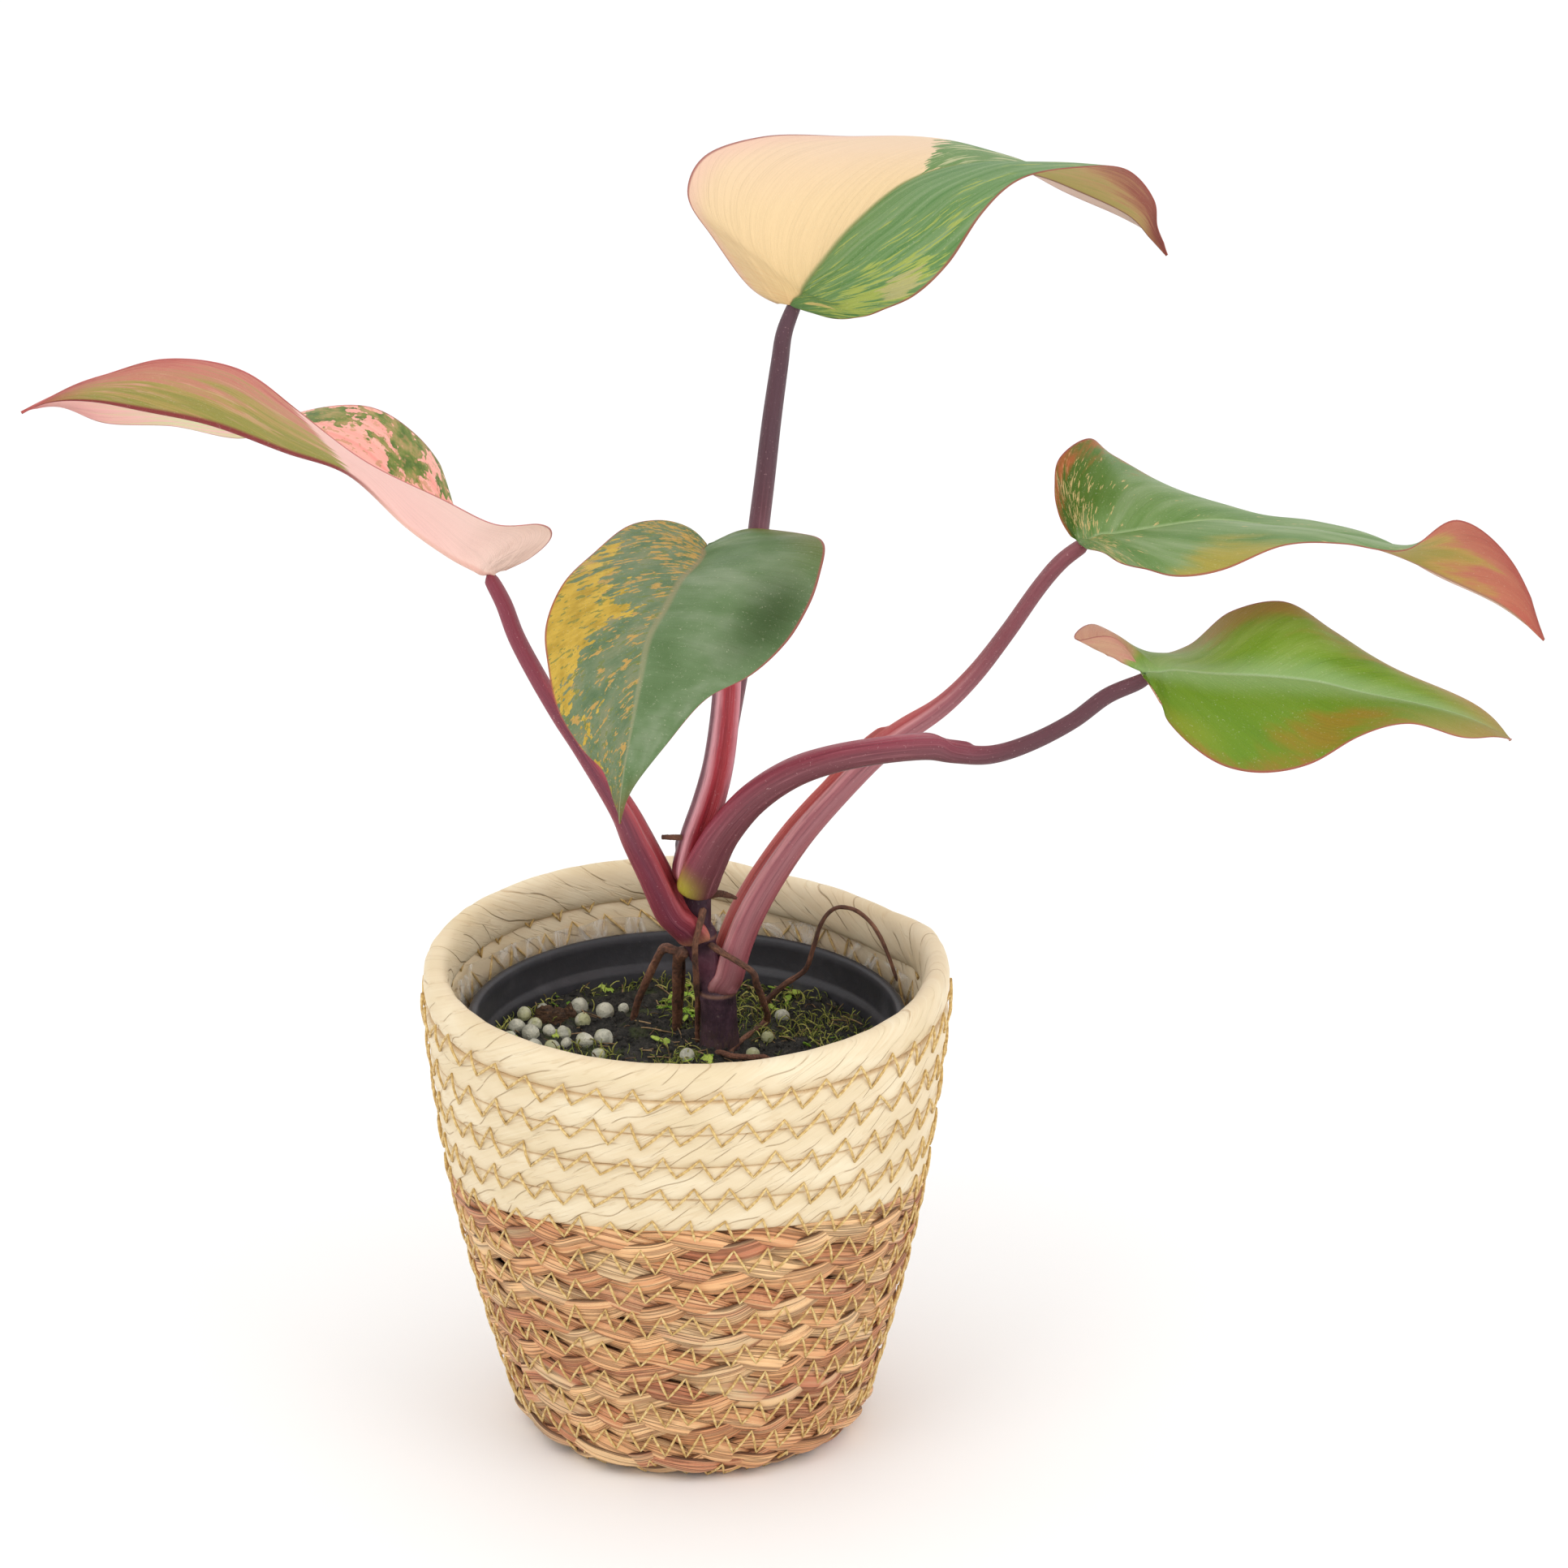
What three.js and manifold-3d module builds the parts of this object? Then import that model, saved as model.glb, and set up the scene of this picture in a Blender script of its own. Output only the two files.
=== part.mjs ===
// Potted climbing aroid with five large variegated leaves, in a nursery pot inside a sewn coil basket.
// Millimetres, +Z up, origin at the centre of the basket's flat underside, -Y towards the viewer.

import * as THREE from 'three';
import Module from 'manifold-3d';

const wasm = await Module();
wasm.setup();

// Clearance kept between two touching pieces
const SEAT_GAP = 0.3;

// Basket: outer radius at the crest of the coils against height
const BASKET_RADII = [[0, 47], [12, 51], [41, 58.2], [80, 66], [99, 69.3], [128, 72.4], [134, 71.6]];
const BASKET_WALL = 6.5;
const BASKET_FLOOR = 8;
const FOOT_RADIUS = 44;
const RIM_HEIGHT = 135;
const BAND_HEIGHT = 80;
const BAND_SWAY = 4;
const RIM_TILT = 2.3;
const SEAGRASS_ROWS = 8;
const CREAM_ROWS = 5;
const ROW_GROOVE = 2;
const SEAGRASS_LOBE = 0.7;
const CREAM_LOBE = 0.35;
const PLAIT_LOBES = 16;
const BASKET_SEGMENTS = 48;

// Film liner sewn in near the basket's rim
const FILM_THICKNESS = 0.6;
const FILM_TOP = 123;
const FILM_SEGMENTS = 32;

// Nursery pot, a standard 120 mm thin plastic one
const POT_RIM_RADIUS = 60;
const POT_FOOT_RADIUS = 38;
const POT_BODY_RADIUS = 56.8;
const POT_HEIGHT = 109.8;
const POT_RIM_DEPTH = 11;
const POT_LIP_WIDTH = 3.2;
const POT_WALL = 1.3;
const POT_SEGMENTS = 44;

// Potting soil and the round granules scattered on it
const SOIL_LEVEL = 105.5;
const SOIL_RELIEF = 1.1;
const SOIL_SEGMENTS = 28;
const GRANULE_RADIUS = 2.1;
const GRANULE_SPOTS = [
  [-40, 31], [-45, 24], [-47, 19], [-49, 12], [-42, 20], [-43, 13], [-42, 6], [-38, 15], [-37, 7], [-33, 9],
  [-34, 16], [-28, 6], [-30, 32], [-29, 25], [-23, 30], [-18, 34], [-23, 11], [-24, -1], [-28, -6], [0, -3],
  [26, 25], [22, 12], [18, 4],
];
const HIDDEN_GRANULES = 9;
const BARK_SPOT = [-36, 26];

// Stem: points with radii at its nodes and between them
const STEM = {
  path: [[9.2, 8.2, 84], [8.9, 7.9, 105.5], [8.6, 7.2, 119], [7.2, 7, 127], [3.8, 7, 136], [2.9, 6.6, 143],
    [2.7, 6.2, 151], [1.6, 6.6, 158], [1, 7, 166]],
  radii: [5.4, 5.5, 4.9, 4.2, 4.5, 3.8, 4.3, 3.8, 4],
};
const STEM_SIDES = 12;
const STEM_STEPS = 18;

// Petioles: centre line up to the blade, radii, depth of the channel, and the side the channel faces
const PETIOLES = {
  right_lower: {
    path: [[2.4, -0.5, 151.5], [3.6, -1.6, 157], [5.6, -3.2, 165], [10, -6, 174.5], [17.6, -9, 185], [27.4, -11, 193],
      [38, -13, 198], [51, -15, 201.5], [64, -17, 203.4], [72, -18, 202], [81.5, -20, 202.3], [92, -22, 206.5],
      [103, -23, 213], [112, -24, 220.5]],
    radii: [5.2, 5.8, 5.6, 5, 4.6, 4.3, 4, 3.8, 3.6, 3, 2.7, 2.6, 2.5, 2.4],
    channel: 0.12, faces: [-1, 0.2, 0.6], finish: 'petiole_maroon',
  },
  front: {
    path: [[0.6, 1.5, 161], [2.6, 0.6, 170], [6, -0.6, 181], [8.6, -1.6, 192], [10.2, -2.6, 204], [11.2, -3.2, 217],
      [11.6, -4, 229], [11, -5.6, 240.5], [9.4, -6.6, 249]],
    radii: [4.4, 4.3, 4.2, 4, 3.8, 3.6, 3.3, 3, 2.7],
    channel: 0.2, faces: [0.5, -1, 0.2], finish: 'petiole_crimson',
  },
  top: {
    path: [[4, 8.4, 163], [6.4, 8.6, 174.8], [9.4, 8.8, 189], [12, 8.6, 203], [14.4, 8.2, 217], [17.2, 7.6, 234],
      [19.6, 7, 255.7], [21.4, 7, 271], [23.2, 7, 287], [25.3, 6.4, 303], [26.6, 6, 312]],
    radii: [3, 3, 2.95, 2.9, 2.9, 2.9, 2.85, 2.75, 2.6, 2.4, 2.2],
    channel: 0.1, faces: [-1, -0.4, 0], finish: 'petiole_purple',
  },
  left: {
    path: [[2.9, 5.9, 135.8], [1.9, 5.2, 138], [-0.6, 4, 142.4], [-4.2, 2.4, 149], [-8.8, 1, 160], [-13.2, 0, 170],
      [-17.4, 0, 179.2], [-27.2, 0, 195.6], [-33.6, 0, 206], [-40, 0, 217.8], [-45, 0, 228.2], [-48.2, 0, 237.5]],
    radii: [4.8, 5.7, 5.6, 5, 4.6, 4.3, 3.6, 2.8, 2.6, 2.5, 2.4, 2.3],
    channel: 0.24, faces: [1, 0, 0.7], finish: 'petiole_crimson',
  },
  right_upper: {
    path: [[8.7, 6.9, 119], [9, 6.9, 121.2], [10.6, 7.2, 127.4], [13, 8.4, 136], [17, 10, 145.5], [22.8, 12, 155.4],
      [30.7, 14, 166.5],
      [40.6, 15, 178], [50.5, 15, 188.6], [59, 14, 196], [69, 13, 203.5], [77.7, 12, 213], [86.3, 11, 225.3],
      [94.5, 9.4, 238.5], [100.5, 8.4, 246.5]],
    radii: [5, 5.4, 5.2, 5, 4.9, 4.7, 4.4, 4.1, 3.8, 3.4, 2.9, 2.7, 2.6, 2.5, 2.4],
    channel: 0.26, faces: [-1, -0.2, 0.8], finish: 'petiole_crimson',
  },
};
const PETIOLE_SIDES = 10;
const CHANNEL_WIDTH = 0.6;
const SEAT_TIP_RADIUS = 1;

// Blades: rows of [midrib, left margin, right margin] from the petiole to the tip, as seen from above facing
// the tip. The first rows run backwards along the margins, which makes the lobes at the base.
const BLADES = {
  top: [
    [[28, 6, 319], [28, 6, 319], [28, 6, 319]],
    [[29, 6, 321], [17, 12, 323], [40, -6, 320]],
    [[31, 7, 322], [7, 18, 335], [46, -12, 322]],
    [[32, 8, 324], [1, 26, 344], [52, -15, 325]],
    [[36, 10, 329], [6, 36, 352], [61, -18, 330]],
    [[45, 14, 339], [21, 42, 355], [69, -16, 338]],
    [[59, 20, 349], [43, 50, 352], [78, -11, 350]],
    [[75, 26, 352], [64, 55, 351], [89, 0, 356]],
    [[92, 29, 349], [83, 56, 345], [104, 6, 358]],
    [[105, 29, 344], [100, 52, 337], [116, 12, 355]],
    [[118, 27, 338], [116, 40, 334], [124, 17, 345]],
    [[124, 25, 332], [124, 31, 331], [126, 21, 336]],
    [[129, 22, 327], [129, 22, 327], [129, 22, 327]],
  ],
  left: [
    [[-50, 0, 246], [-50, 0, 246], [-50, 0, 246]],
    [[-52, 0, 247], [-41, -10, 254], [-53, 16, 250]],
    [[-54, 0, 247], [-35, -18, 263], [-58, 22, 254]],
    [[-56, 0, 248], [-38, -24, 269], [-65, 26, 259]],
    [[-63, 0, 252], [-50, -26, 270], [-66, 30, 267]],
    [[-74, 1, 260], [-64, -25, 276], [-73, 32, 275]],
    [[-89, 2, 274], [-82, -24, 286], [-86, 32, 282]],
    [[-106, 3, 280], [-101, -22, 300], [-104, 32, 281]],
    [[-125, 4, 287], [-117, -19, 310], [-119, 30, 274]],
    [[-143, 4, 291], [-136, -15, 312], [-138, 25, 279]],
    [[-157, 3, 294], [-153, -10, 305], [-155, 18, 283]],
    [[-168, 2, 294], [-166, -2, 297], [-166, 6, 291]],
    [[-177, 0, 291], [-177, 0, 291], [-177, 0, 291]],
  ],
  front: [
    [[6, -8, 257], [6, -8, 257], [6, -8, 257]],
    [[6, -9, 257], [12, -3, 258], [2, -5, 261]],
    [[5, -11, 257], [20, 0, 259], [-6, -3, 262]],
    [[5, -13, 256], [31, -3, 259], [-16, -5, 261]],
    [[3, -19, 255], [37, -13, 259], [-25, -16, 257]],
    [[-1, -28, 254], [36, -27, 256], [-32, -30, 253]],
    [[-5, -39, 250], [33, -38, 251], [-36, -43, 247]],
    [[-9, -50, 246], [27, -47, 244], [-35, -54, 240]],
    [[-11, -62, 239], [18, -57, 239], [-32, -63, 231]],
    [[-13, -71, 230], [6, -65, 235], [-26, -70, 223]],
    [[-15, -78, 220], [-4, -73, 226], [-20, -76, 219]],
    [[-16, -82, 212], [-13, -80, 215], [-17, -81, 212]],
    [[-16, -84, 207], [-16, -84, 207], [-16, -84, 207]],
  ],
  right_upper: [
    [[105, 8, 252], [105, 8, 252], [105, 8, 252]],
    [[106, 8, 253], [100, 16, 258], [108, 0, 253]],
    [[108, 8, 253], [99, 24, 263], [112, -6, 254]],
    [[111, 9, 254], [101, 31, 268], [117, -11, 253]],
    [[116, 10, 254], [109, 36, 272], [122, -16, 253]],
    [[126, 12, 255], [116, 39, 266], [130, -20, 253]],
    [[142, 15, 256], [131, 43, 255], [143, -20, 255]],
    [[158, 18, 253], [151, 45, 247], [159, -17, 260]],
    [[175, 20, 249], [169, 45, 245], [175, -8, 258]],
    [[190, 20, 245], [186, 42, 241], [192, -3, 254]],
    [[206, 18, 238], [202, 36, 234], [206, 0, 261]],
    [[221, 15, 231], [219, 26, 228], [221, 3, 249]],
    [[233, 11, 221], [233, 11, 221], [233, 11, 221]],
  ],
  right_lower: [
    [[121, -25, 227], [121, -25, 227], [121, -25, 227]],
    [[122, -25, 227], [114, -14, 233], [124, -33, 226]],
    [[123, -26, 228], [104, -7, 230], [126, -39, 223]],
    [[126, -26, 228], [110, 2, 231], [128, -44, 220]],
    [[130, -27, 229], [123, 2, 223], [134, -50, 216]],
    [[140, -27, 228], [135, 1, 225], [143, -54, 212]],
    [[153, -26, 227], [146, 2, 235], [153, -56, 211]],
    [[167, -25, 225], [160, 4, 237], [164, -54, 213]],
    [[180, -26, 222], [173, 2, 229], [177, -50, 219]],
    [[194, -26, 219], [187, -2, 222], [191, -44, 220]],
    [[206, -27, 216], [204, -12, 217], [205, -39, 215]],
    [[214, -29, 213], [214, -23, 214], [214, -35, 213]],
    [[220, -31, 210], [220, -31, 210], [220, -31, 210]],
  ],
};
const BLADE_FINISHES = {
  top: 'blade_cream_green',
  left: 'blade_pink_olive',
  front: 'blade_green_gold',
  right_upper: 'blade_green_red',
  right_lower: 'blade_lime',
};
const BLADE_THICKNESS = 0.8;
const MIDRIB_SWELL = 1.1;
const MIDRIB_WIDTH = 0.07;
const BLADE_BOW = 0.06;
const BLADE_STEPS = 18;
const BLADE_COLUMNS = [-1, -0.75, -0.5, -0.25, -0.07, 0, 0.07, 0.25, 0.5, 0.75, 1];
const BLADE_START = 0.025;
const BLADE_END = 0.985;

// Aerial roots and stubs: centre lines and radii
const ROOTS = {
  aerial_root_left: {
    path: [[0.6, 5.6, 134.2], [-3.4, 6, 135], [-6, 7, 135.2], [-7.8, 9, 132], [-10.6, 14, 123.8],
      [-13.2, 19, 115.6], [-15.4, 24, 105.5], [-16, 25.5, 100]],
    radii: [1, 1, 1, 1.05, 1, 0.95, 0.9, 0.8],
  },
  aerial_root_middle: {
    path: [[0.8, 5.6, 134.4], [-1.6, 6.2, 134], [-2.6, 9.6, 129.4], [-2.9, 14, 120.5], [-3.1, 20, 108],
      [-3.2, 22, 100]],
    radii: [1.2, 1.3, 1.25, 1.2, 1.1, 0.9],
  },
  aerial_root_thin: {
    path: [[-1, 10.2, 131.4], [-1, 13, 126], [-1.4, 17, 119], [-2, 22.5, 110], [-2.2, 24.5, 103]],
    radii: [0.5, 0.6, 0.6, 0.55, 0.5],
  },
  aerial_root_front: {
    path: [[4.7, -0.6, 150.4], [3.9, -1.4, 146.6], [2.5, -1.6, 140.4], [2.4, 0, 134.6], [2.6, 3, 127],
      [2.9, 7, 119.6], [2.8, 11, 111.5], [2.7, 13, 102]],
    radii: [0.9, 0.8, 0.75, 0.75, 0.75, 0.75, 0.7, 0.6],
  },
  aerial_root_right: {
    path: [[6, 2.6, 138.4], [10, 0, 136.6], [17.6, -1, 131.8], [19.2, 3, 125.8], [21.4, 12, 115.6],
      [21.8, 18, 109.4], [19, 15, 107.6], [16, 11.6, 106.9], [12.4, 4, 106.4], [11, 0.5, 102.6]],
    radii: [0.8, 0.8, 0.75, 0.8, 0.75, 0.8, 0.75, 0.7, 0.65, 0.5],
  },
  dry_tendril: {
    path: [[19, 36, 101], [21.6, 34, 107.8], [26.6, 32, 113.8], [32.3, 31, 118.8], [34.6, 30, 125.8],
      [36.6, 30, 132.6], [39.2, 29.4, 136.8], [42.4, 28.6, 138.4], [46.6, 27, 137.8], [50.8, 24.6, 134.8],
      [54, 22.4, 129.6], [56.8, 20.2, 122.4], [57.6, 19.6, 119.9]],
    radii: [0.7, 0.8, 0.75, 0.7, 0.65, 0.6, 0.6, 0.6, 0.6, 0.6, 0.55, 0.5, 0.4],
  },
  surface_root: {
    path: [[6.4, 1, 102.4], [8.4, 0.8, 106.8], [12.6, -2.4, 107.2], [17.4, -2.6, 107], [21.8, -1.6, 106.4],
      [24.4, -1, 102.6]],
    radii: [0.7, 0.8, 0.8, 0.8, 0.7, 0.5],
  },
  root_stub_left: {
    path: [[-6.6, -2, 171.4], [-4, -1.6, 171.2], [-0.6, -0.8, 170.8]],
    radii: [0.6, 0.75, 0.8],
  },
  root_stub_right: {
    path: [[5, 5.2, 151], [8.6, 4.2, 152.4], [11.4, 3.8, 152], [13.8, 3.6, 151.2]],
    radii: [0.9, 0.9, 0.7, 0.4],
  },
};
const ROOT_SIDES = 5;

const FINISHES = {
  seagrass: { color: 0xb07c48, roughness: 0.75, metalness: 0 },
  palm: { color: 0xe8d5ac, roughness: 0.6, metalness: 0 },
  film: { color: 0xdfe0d6, roughness: 0.15, metalness: 0 },
  black_plastic: { color: 0x1d1f23, roughness: 0.4, metalness: 0 },
  peat: { color: 0x2b211a, roughness: 0.95, metalness: 0 },
  stem_skin: { color: 0x3d2a35, roughness: 0.5, metalness: 0 },
  petiole_purple: { color: 0x4a2a38, roughness: 0.4, metalness: 0 },
  petiole_crimson: { color: 0x9c3048, roughness: 0.4, metalness: 0 },
  petiole_maroon: { color: 0x7d3a4c, roughness: 0.45, metalness: 0 },
  blade_cream_green: { color: 0xe8cf9a, roughness: 0.4, metalness: 0 },
  blade_pink_olive: { color: 0xe3b3a0, roughness: 0.4, metalness: 0 },
  blade_green_gold: { color: 0x7b8f5e, roughness: 0.4, metalness: 0 },
  blade_green_red: { color: 0x6d8c4f, roughness: 0.4, metalness: 0 },
  blade_lime: { color: 0xa3b462, roughness: 0.4, metalness: 0 },
  dry_root: { color: 0x7d5238, roughness: 0.85, metalness: 0 },
};

// The same draws on every run
function seeded(seed) {
  let state = seed;
  return () => {
    state = (state * 1664525 + 1013904223) % 4294967296;
    return state / 4294967296;
  };
}

// Straight lines between [x, y] points
function along(points, x) {
  const last = points.findIndex(([at]) => at >= x);
  if (last === 0) return points[0][1];
  if (last < 0) return points[points.length - 1][1];
  const [x0, y0] = points[last - 1];
  const [x1, y1] = points[last];
  return y0 + ((y1 - y0) * (x - x0)) / (x1 - x0);
}

// Smooth line through the points, equally spaced in t
function through(points, t) {
  const vectors = points.map((point) => new THREE.Vector3(...point));
  const spans = vectors.length - 1;
  const at = THREE.MathUtils.clamp(t, 0, 1) * spans;
  const span = Math.min(Math.floor(at), spans - 1);
  const w = at - span;
  const b = vectors[span];
  const c = vectors[span + 1];
  const a = span > 0 ? vectors[span - 1] : b.clone().multiplyScalar(2).sub(c);
  const d = span + 2 <= spans ? vectors[span + 2] : c.clone().multiplyScalar(2).sub(b);
  const blend = (key) => 0.5 * (2 * b[key] + (c[key] - a[key]) * w
    + (2 * a[key] - 5 * b[key] + 4 * c[key] - d[key]) * w * w
    + (3 * b[key] - a[key] - 3 * c[key] + d[key]) * w * w * w);
  return new THREE.Vector3(blend('x'), blend('y'), blend('z'));
}

function geometryOf(points, faces) {
  const geometry = new THREE.BufferGeometry();
  geometry.setAttribute('position', new THREE.Float32BufferAttribute(points.flatMap((p) => [p.x, p.y, p.z]), 3));
  geometry.setIndex(faces.flat());
  return geometry;
}

// Closed body from equal rings of points, the ends closed by fans round their middles
function skin(rings) {
  const sides = rings[0].length;
  const points = rings.flat();
  const faces = [];
  for (let ring = 0; ring + 1 < rings.length; ring += 1) {
    for (let side = 0; side < sides; side += 1) {
      const next = (side + 1) % sides;
      const a = ring * sides + side;
      const b = ring * sides + next;
      faces.push([a, b, b + sides], [a, b + sides, a + sides]);
    }
  }
  const middle = (ring) => ring.reduce((sum, p) => sum.add(p), new THREE.Vector3()).divideScalar(sides);
  const first = points.push(middle(rings[0])) - 1;
  const last = points.push(middle(rings[rings.length - 1])) - 1;
  const lastRing = (rings.length - 1) * sides;
  for (let side = 0; side < sides; side += 1) {
    const next = (side + 1) % sides;
    faces.push([first, next, side], [last, lastRing + side, lastRing + next]);
  }
  return geometryOf(points, faces);
}

// Body of revolution whose points may be moved by place(r, z, angle, row). A profile runs counter-clockwise
// in the r-z plane, from axis to axis or closed on itself.
function turned(profile, segments, place) {
  const closed = profile[0][0] > 0;
  const points = [];
  const rows = profile.map(([r, z], row) => {
    const count = r === 0 ? 1 : segments;
    return Array.from({ length: count }, (_, i) => points.push(place(r, z, (2 * Math.PI * i) / segments, row)) - 1);
  });
  const faces = [];
  const spans = closed ? rows.length : rows.length - 1;
  for (let row = 0; row < spans; row += 1) {
    const lower = rows[row];
    const upper = rows[(row + 1) % rows.length];
    for (let i = 0; i < segments; i += 1) {
      const j = (i + 1) % segments;
      const a = lower[i % lower.length];
      const b = lower[j % lower.length];
      const c = upper[j % upper.length];
      const d = upper[i % upper.length];
      if (a !== b) faces.push([a, b, c]);
      if (c !== d) faces.push([a, c, d]);
    }
  }
  return geometryOf(points, faces);
}

function onAxis(r, z, angle) {
  return new THREE.Vector3(r * Math.cos(angle), r * Math.sin(angle), z);
}

// Round or channelled limb along a path; its channel keeps to the side it faces at the foot, without twist.
// grow swells it all over
function limb({ path, radii, channel = 0, faces: towards = [0.2, -1, 0.1] }, sides, steps, grow = 0) {
  const rings = [];
  const front = new THREE.Vector3(...towards);
  for (let step = 0; step <= steps; step += 1) {
    const t = step / steps;
    const centre = through(path, t);
    const tangent = through(path, t + 0.01).sub(through(path, t - 0.01)).normalize();
    const end = step === 0 ? -grow : step === steps ? grow : 0;
    const radius = along(radii.map((r, i) => [i / (radii.length - 1), r]), t) + grow;
    front.addScaledVector(tangent, -front.dot(tangent)).normalize();
    const side = tangent.clone().cross(front);
    rings.push(Array.from({ length: sides }, (_, i) => {
      const angle = (2 * Math.PI * i) / sides;
      const off = Math.min(angle, 2 * Math.PI - angle) / CHANNEL_WIDTH;
      const reach = radius * (1 - channel * Math.exp(-off * off));
      return centre.clone().addScaledVector(tangent, end)
        .addScaledVector(front, reach * Math.cos(angle)).addScaledVector(side, reach * Math.sin(angle));
    }));
  }
  return skin(rings);
}

// Point of a blade's middle surface: u runs from base to tip, v from right margin -1 to left margin 1
function bladePoint(rows, u, v) {
  const midrib = through(rows.map((row) => row[0]), u);
  const margin = through(rows.map((row) => row[v < 0 ? 2 : 1]), u);
  const tangent = through(rows.map((row) => row[0]), u + 0.005)
    .sub(through(rows.map((row) => row[0]), u - 0.005)).normalize();
  const chord = margin.sub(midrib);
  const normal = v < 0 ? chord.clone().cross(tangent) : tangent.clone().cross(chord);
  const reach = Math.abs(v);
  return midrib.addScaledVector(chord, reach).addScaledVector(normal, BLADE_BOW * 4 * reach * (1 - reach));
}

function bladeNormal(rows, u, v) {
  const step = 0.01;
  const lengthwise = bladePoint(rows, u + step, v).sub(bladePoint(rows, u - step, v));
  const across = bladePoint(rows, u, Math.min(v + step, 1)).sub(bladePoint(rows, u, Math.max(v - step, -1)));
  return lengthwise.cross(across).normalize();
}

// Waved slab with the same split into triangles on both faces and a swell under the midrib
function blade(rows, grow = 0) {
  const columns = BLADE_COLUMNS.length;
  const upper = [];
  const lower = [];
  for (let step = 0; step <= BLADE_STEPS; step += 1) {
    const u = THREE.MathUtils.lerp(BLADE_START, BLADE_END, step / BLADE_STEPS);
    BLADE_COLUMNS.forEach((v) => {
      const point = bladePoint(rows, u, v);
      const normal = bladeNormal(rows, u, v);
      const swell = MIDRIB_SWELL * (1 - u) * Math.exp(-((v / MIDRIB_WIDTH) ** 2));
      upper.push(point.clone().addScaledVector(normal, BLADE_THICKNESS / 2 + grow));
      lower.push(point.clone().addScaledVector(normal, -BLADE_THICKNESS / 2 - swell - grow));
    });
  }
  const points = [...upper, ...lower];
  const under = upper.length;
  const faces = [];
  for (let step = 0; step < BLADE_STEPS; step += 1) {
    for (let column = 0; column + 1 < columns; column += 1) {
      const a = step * columns + column;
      const b = a + 1;
      const c = b + columns;
      const d = a + columns;
      faces.push([a, d, c], [a, c, b]);
      faces.push([under + a, under + c, under + d], [under + a, under + b, under + c]);
    }
  }
  const border = [
    ...Array.from({ length: columns - 1 }, (_, i) => i),
    ...Array.from({ length: BLADE_STEPS }, (_, i) => i * columns + columns - 1),
    ...Array.from({ length: columns - 1 }, (_, i) => (BLADE_STEPS + 1) * columns - 1 - i),
    ...Array.from({ length: BLADE_STEPS }, (_, i) => (BLADE_STEPS - i) * columns),
  ];
  border.forEach((a, i) => {
    const b = border[(i + 1) % border.length];
    faces.push([a, b, under + b], [a, under + b, under + a]);
  });
  return geometryOf(points, faces);
}

// The petiole runs up to the blade and ends under the first stretch of its midrib
function petioleToBlade(name) {
  const petiole = PETIOLES[name];
  const rows = BLADES[name];
  const under = (u, depth) => bladePoint(rows, u, 0).addScaledVector(bladeNormal(rows, u, 0), -depth).toArray();
  const clear = BLADE_THICKNESS / 2 + MIDRIB_SWELL + SEAT_GAP;
  return {
    ...petiole,
    path: [...petiole.path, under(BLADE_START, clear + 1.2), under(0.12, clear + 0.4)],
    radii: [...petiole.radii, petiole.radii[petiole.radii.length - 1] * 0.85, SEAT_TIP_RADIUS],
  };
}

function solid(geometry) {
  const vertProperties = new Float32Array(geometry.getAttribute('position').array);
  const triVerts = new Uint32Array(geometry.getIndex().array);
  return new wasm.Manifold(new wasm.Mesh({ numProp: 3, vertProperties, triVerts }));
}

// Largest body that is left of a solid after its neighbours are cut away
function trimmed(body, neighbours) {
  const rest = neighbours.reduce((left, neighbour) => left.subtract(neighbour), body);
  return rest.decompose().reduce((best, piece) => (piece.volume() > best.volume() ? piece : best));
}

function geometryFrom(body) {
  const mesh = body.getMesh();
  const geometry = new THREE.BufferGeometry();
  geometry.setAttribute('position', new THREE.BufferAttribute(new Float32Array(mesh.vertProperties), 3));
  geometry.setIndex(new THREE.BufferAttribute(new Uint32Array(mesh.triVerts), 1));
  return geometry;
}

const plant = new THREE.Group();

function addPiece(name, geometry, finish) {
  const piece = new THREE.Mesh(geometry, new THREE.MeshStandardMaterial(FINISHES[finish]));
  piece.name = name;
  plant.add(piece);
}

// The coils rise and fall a little round the basket: heights are given as if they were level
function coilHeight(z, angle) {
  const share = z < BAND_HEIGHT
    ? Math.max(0, z - BASKET_FLOOR - 1) / (BAND_HEIGHT - BASKET_FLOOR - 1)
    : (RIM_HEIGHT - z) / (RIM_HEIGHT - BAND_HEIGHT);
  const tilt = (Math.max(0, z - BASKET_FLOOR - 1) / RIM_HEIGHT) ** 2;
  return z - share * BAND_SWAY * Math.cos(2 * angle) + tilt * RIM_TILT * Math.sin(angle);
}

// Points up the outside of some coils: a groove below each coil and two points on its crest
function coilOutline(bottom, top, rows) {
  const pitch = (top - bottom) / rows;
  return Array.from({ length: rows }, (_, row) => {
    const z = bottom + row * pitch;
    return [
      { r: along(BASKET_RADII, z) - ROW_GROOVE, z, row, crest: 0 },
      { r: along(BASKET_RADII, z + pitch * 0.3), z: z + pitch * 0.28, row, crest: 1 },
      { r: along(BASKET_RADII, z + pitch * 0.7), z: z + pitch * 0.72, row, crest: 1 },
    ];
  }).flat();
}

function coiled(outline, lobe, lobes) {
  return turned(outline.map(({ r, z }) => [r, z]), BASKET_SEGMENTS, (r, z, angle, index) => {
    const { row = 0, crest = 0 } = outline[index];
    const plait = crest * lobe * Math.cos(lobes * angle + row * Math.PI);
    return onAxis(r + plait, 0, angle).setZ(coilHeight(z, angle));
  });
}

const INNER_HEIGHTS = [BASKET_FLOOR, 40, BAND_HEIGHT, 104, RIM_HEIGHT - 4];
const INNER_RADII = INNER_HEIGHTS.map((z) => [z, along(BASKET_RADII, z) - BASKET_WALL]);

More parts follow.
